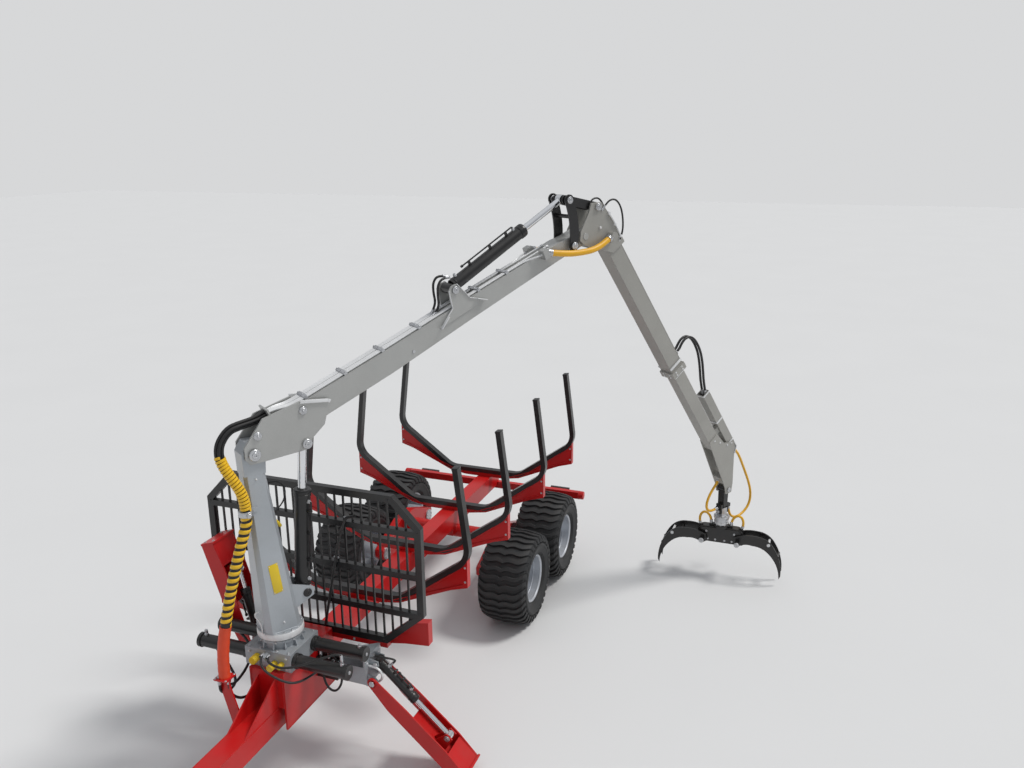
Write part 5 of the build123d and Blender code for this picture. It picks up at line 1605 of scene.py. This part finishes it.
# Bogies: caps over the rocking pins, flanges where the axles are bolted on, welds
bogie = {
    "pinZ": 0.600,
    "capY": 0.6475,
    "cap": [(0, -0.001), (0.066, -0.001), (0.066, 0.008), (0.060, 0.012), (0.022, 0.012), (0.020, 0.018), (0, 0.018)],
    "axleX": 0.51,
    "flangeY": 0.5355,
    "beamFaces": (0.5375, 0.6245),
    "seam": ((-0.53, 0.386), (0.53, 0.386)),
}


def makeRunningGear():
    for name, side in (("left", 1), ("right", -1)):
        out = Vector((0, side, 0))
        bm = bmesh.new()
        middle = trailerPoint(tyre["bogieX"], side * bogie["capY"], bogie["pinZ"])
        addTurned(bm, middle, out, bogie["cap"], 40)
        addBoltCircle(bm, middle + out * 0.0115, forward, upward, out, 0.046, 0.0075, 6)
        finishObject(f"pivotCap_{name}", bm, "zincSteel", "chassis")
        bm = bmesh.new()
        for sx in (-1, 1):
            spot = trailerPoint(tyre["bogieX"] + sx * bogie["axleX"], side * bogie["flangeY"], tyre["radius"])
            addCap(bm, spot, -out, 0.070, 0.014, (0.006, 0.004), 36, 0.001)
            addBoltCircle(bm, spot - out * 0.0135, forward, upward, -out, 0.052, 0.008, 8, 0.5)
        finishObject(f"axleFlanges_{name}", bm, "zincSteel", f"bogie_{name}")
        bm = bmesh.new()
        for y in bogie["beamFaces"]:
            addSeam(bm, [trailerPoint(tyre["bogieX"] + x, side * y, z) for x, z in bogie["seam"]], 0.0035)
            addRoundWeld(bm, trailerPoint(tyre["bogieX"], side * y, bogie["pinZ"]), out, 0.080, 0.004)
        finishObject(f"bogieWelds_{name}", bm, "redPaint", f"bogie_{name}")


makeRunningGear()

# Rear bar: frames and ribs on the lamps, end caps, bolts
rearBar = {
    "lampX": -4.371,
    "lampY": 0.850,
    "lampZ": (0.638, 0.722),
    "lampHalf": 0.112,
    "barX": -4.310,
    "barZ": 0.680,
    "endCap": [(0, -0.001), (0.046, -0.001), (0.047, 0.004), (0.043, 0.009), (0.030, 0.012), (0, 0.0125)],
    "bolts": (0.745, 0.830),
}


def makeRearBar():
    x, (low, high), half = rearBar["lampX"], rearBar["lampZ"], rearBar["lampHalf"]
    for name, side in (("left", 1), ("right", -1)):
        y = side * rearBar["lampY"]
        bm = bmesh.new()
        for z in (low, high):
            addBar(bm, trailerPoint(x, y - half - 0.003, z), trailerPoint(x, y + half + 0.003, z), 0.034, 0.004,
                   upward, 0.001)
        for end in (-1, 1):
            addBar(bm, trailerPoint(x, y + end * half, low), trailerPoint(x, y + end * half, high), 0.004, 0.034,
                   forward, 0.001)
            addBar(bm, trailerPoint(x - 0.005, y + end * 0.036, low + 0.002),
                   trailerPoint(x - 0.005, y + end * 0.036, high - 0.002), 0.005, 0.006, forward, 0.001)
        finishObject(f"lampFrame_{name}", bm, "blackPaint", "chassis")
        bm = bmesh.new()
        addTurned(bm, trailerPoint(rearBar["barX"], side * 1.149, rearBar["barZ"]), Vector((0, side, 0)),
                  rearBar["endCap"], 48)
        addRoundWeld(bm, trailerPoint(rearBar["barX"], side * 1.100, rearBar["barZ"]), (0, 1, 0), 0.047, 0.004)
        finishObject(f"barEnd_{name}", bm, "redPaint", "chassis")
    bm = bmesh.new()
    for side in (-1, 1):
        for z in rearBar["bolts"]:
            addBolt(bm, trailerPoint(rearBar["barX"] - 0.030, side * 0.055, z), -forward, 0.011)
    finishObject("rearBolts", bm, "zincSteel", "chassis")


makeRearBar()

# Drawbar: bolts of the towing eye with its wear ring, long welds
drawbar = {
    "bolts": [(y, z) for y in (-0.058, 0.058) for z in (0.510, 0.550, 0.590)],
    "boltX": 1.3735,
    "eyeTop": 0.5675,
    "wearRing": [(0.0255, 0), (0.040, 0), (0.042, 0.002), (0.040, 0.004), (0.0255, 0.004)],
    "welds": (((0.225, 0.0855, 0.6495), (1.34, 0.0855, 0.6495), 0.003),
              ((0.219, 0.136, 0.652), (0.219, 0.136, 0.935), 0.004),
              ((-0.44, 0.151, 0.4755), (0.21, 0.151, 0.4755), 0.003)),
}


def makeDrawbarDetails():
    bm = bmesh.new()
    for y, z in drawbar["bolts"]:
        addBolt(bm, trailerPoint(drawbar["boltX"], y, z), forward, 0.011)
    addTurned(bm, trailerPoint(crane["eyeAhead"], 0, drawbar["eyeTop"]), upward, drawbar["wearRing"], 48, True)
    finishObject("eyeBolts", bm, "zincSteel", "chassis")
    bm = bmesh.new()
    for side in (-1, 1):
        for start, end, radius in drawbar["welds"]:
            addSeam(bm, [trailerPoint(x, side * y, z) for x, y, z in (start, end)], radius)
    finishObject("drawbarWelds", bm, "redPaint", "chassis")


makeDrawbarDetails()
print("chassis details ready")

# Rotator and grapple: bolts round the flanges, ports, welds, rings round the pins, bars between the claw's plates
grapple = {
    "rotatorBolts": 8,
    "rotatorRing": 0.066,
    "rotatorFaces": ((-0.0605, 1), (-0.1595, -1)),
    "rotatorBand": [(0.076, 0), (0.0805, 0.001), (0.082, 0.004), (0.082, 0.010), (0.0805, 0.013), (0.076, 0.014)],
    "topBolts": 10,
    "topRing": 0.072,
    "plateOut": 0.0575,
    "lowBolts": (-0.13, -0.05, 0.05, 0.13),
    "highBolts": (-0.15, 0.15),
    "claws": (("claw_a", 1, 0.064, 0.078), ("claw_b", -1, 0.084, 0.098)),
    "clawWelds": ((0.430, 0.035), (0.618, -0.120)),
    "clawBar": (0.520, 0.020),
}


def makeRotatorDetails():
    hub = cranePoint(tipPin[0], 0, crossPinZ)
    bm = bmesh.new()
    for high, way in grapple["rotatorFaces"]:
        addBoltCircle(bm, hub + upward * high, radial, sideways, upward * way, grapple["rotatorRing"], 0.008,
                      grapple["rotatorBolts"])
    for side in (-1, 1):
        addTurned(bm, hub + sideways * side * 0.084 - upward * 0.110, sideways * side,
                  [(0, -0.01), (0.014, -0.01), (0.014, 0.010), (0.010, 0.012), (0.010, 0.020), (0, 0.020)], 6)
    addTurned(bm, hub - upward * 0.145, upward, grapple["rotatorBand"], 56, True)
    finishObject("rotatorBolts", bm, "whiteSteel", "rotator")


def makeGrappleDetails():
    pinOut = crane["jawOut"]
    bm = bmesh.new()
    addBoltCircle(bm, grabPoint(0, 0, grabTop - 0.0005), -jawSide.cross(upward), jawSide, upward, grapple["topRing"],
                  0.008, grapple["topBolts"], 0.5)
    for side in (-1, 1):
        for u in grapple["lowBolts"]:
            addBolt(bm, grabPoint(u, side * grapple["plateOut"], jawZ - 0.010), jawSide * side, 0.010)
        for u in grapple["highBolts"]:
            addBolt(bm, grabPoint(u, side * grapple["plateOut"], grabTop - 0.085), jawSide * side, 0.011)
    finishObject("grappleBolts", bm, "zincSteel", "grapple_body")
    bm = bmesh.new()
    for side in (-1, 1):
        addSeam(bm, [grabPoint(u, side * 0.047, grabTop - 0.0405) for u in (-pinOut, pinOut)], 0.004)
        for u in (-pinOut, pinOut):
            addRoundWeld(bm, grabPoint(u, side * (grapple["plateOut"] + 0.001), jawZ), jawSide, 0.027, 0.004)
            addTurned(bm, grabPoint(u, side * (grapple["plateOut"] + 0.0005), jawZ), jawSide * side, [
                (0.0225, 0), (0.040, 0), (0.040, 0.0045), (0.037, 0.0060), (0.0225, 0.0060)], 36, True)
    finishObject("grappleWelds", bm, "blackPaint", "grapple_body")


def makeClawDetails(name, side, inner, outerFace):
    bm = bmesh.new()
    for u, up in grapple["clawWelds"]:
        for face in (-1, 1):
            addRoundWeld(bm, grabPoint(side * u, face * (inner - 0.001), jawZ + up), jawSide, 0.019, 0.004)
    finishObject(f"clawWelds_{name}", bm, "blackPaint", name)
    bm = bmesh.new()
    u, up = grapple["clawBar"]
    long = 2 * inner + 0.002
    addTurned(bm, grabPoint(side * u, -inner - 0.001, jawZ + up), jawSide,
              [(0, 0), (0.013, 0), (0.013, long), (0, long)], 20)
    for face in (-1, 1):
        addCap(bm, grabPoint(side * u, face * (outerFace - 0.0005), jawZ + up), jawSide * face, 0.020, 0.009,
               (0.004, 0.003))
    finishObject(f"clawBars_{name}", bm, "whiteSteel", name)


makeRotatorDetails()
makeGrappleDetails()
for claw in grapple["claws"]:
    makeClawDetails(*claw)
print("grapple details ready")

# Camera, light and floor
stage = {
    "eye": (3.384, 3.716, 4.228),
    "azimuth": 200.54,
    "pitch": -16.02,
    "roll": -0.43,
    "lens": 30.80,
    "floorColor": (0.66, 0.665, 0.67, 1),
    "floorHalf": 60.0,
    "skyTop": (0.92, 0.94, 0.97, 1),
    "skyLow": (0.40, 0.41, 0.43, 1),
    "backdrop": (0.68, 0.685, 0.692, 1),
    "worldStrength": 0.70,
    "sunStrength": 2.05,
    "sunAngle": 14.0,
    "sunColor": (1.0, 0.98, 0.95),
    "sunWay": (0.30, -0.62, -1.0),
}


def makeCamera():
    camera = bpy.data.objects.new("camera", bpy.data.cameras.new("camera"))
    bpy.context.scene.collection.objects.link(camera)
    azimuth, pitch = math.radians(stage["azimuth"]), math.radians(stage["pitch"])
    way = Vector((math.cos(pitch) * math.cos(azimuth), math.cos(pitch) * math.sin(azimuth), math.sin(pitch)))
    turn = way.to_track_quat("-Z", "Y").to_matrix().to_4x4() @ Matrix.Rotation(math.radians(stage["roll"]), 4, "Z")
    camera.matrix_world = Matrix.Translation(stage["eye"]) @ turn
    camera.data.lens = stage["lens"]
    camera.data.sensor_width = 36.0
    camera.data.clip_end = 200.0
    bpy.context.scene.camera = camera


def makeLight():
    sun = bpy.data.objects.new("sun", bpy.data.lights.new("sun", "SUN"))
    sun.data.energy = stage["sunStrength"]
    sun.data.angle = math.radians(stage["sunAngle"])
    sun.data.color = stage["sunColor"]
    sun.rotation_mode = "QUATERNION"
    sun.rotation_quaternion = Vector(stage["sunWay"]).to_track_quat("-Z", "Y")
    bpy.context.scene.collection.objects.link(sun)
    world = bpy.data.worlds.new("studio")
    world.use_nodes = True
    bpy.context.scene.world = world
    tree = world.node_tree
    sky = tree.nodes["Background"]
    sky.inputs[1].default_value = stage["worldStrength"]
    place = addNode(tree, "ShaderNodeTexCoord").outputs["Generated"]
    high = addNode(tree, "ShaderNodeSeparateXYZ", {0: place}).outputs[2]
    tree.links.new(mixColor(tree, ramp(tree, high, 0.0, 0.9), stage["skyLow"], stage["skyTop"]), sky.inputs[0])
    # the camera sees a plain card instead of the sky that lights the trailer
    card = addNode(tree, "ShaderNodeBackground", {"Color": stage["backdrop"], "Strength": 1.0})
    seen = addNode(tree, "ShaderNodeLightPath").outputs["Is Camera Ray"]
    both = addNode(tree, "ShaderNodeMixShader", {0: seen, 1: sky.outputs[0], 2: card.outputs[0]})
    tree.links.new(both.outputs[0], tree.nodes["World Output"].inputs[0])


def makeFloor():
    bm = bmesh.new()
    bmesh.ops.create_grid(bm, x_segments=8, y_segments=8, size=stage["floorHalf"])
    mesh = bpy.data.meshes.new("floor")
    bm.to_mesh(mesh)
    bm.free()
    floor = bpy.data.objects.new("floor", mesh)
    floor.location = (0, 0, -crane["eyeHigh"] - 0.001)
    bpy.context.scene.collection.objects.link(floor)
    material, tree, shader = startMaterial("floorCard")
    shader.inputs["Roughness"].default_value = 0.85
    tint = tuple(c * 0.96 for c in stage["floorColor"][:3]) + (1,)
    cloud = noise(tree, objectPlace(tree), 0.6, 4.0)
    tree.links.new(mixColor(tree, cloud, stage["floorColor"], tint), shader.inputs["Base Color"])
    mesh.materials.append(material)


makeCamera()
makeLight()
makeFloor()
bpy.context.scene.view_settings.view_transform = "Standard"
print("stage ready")
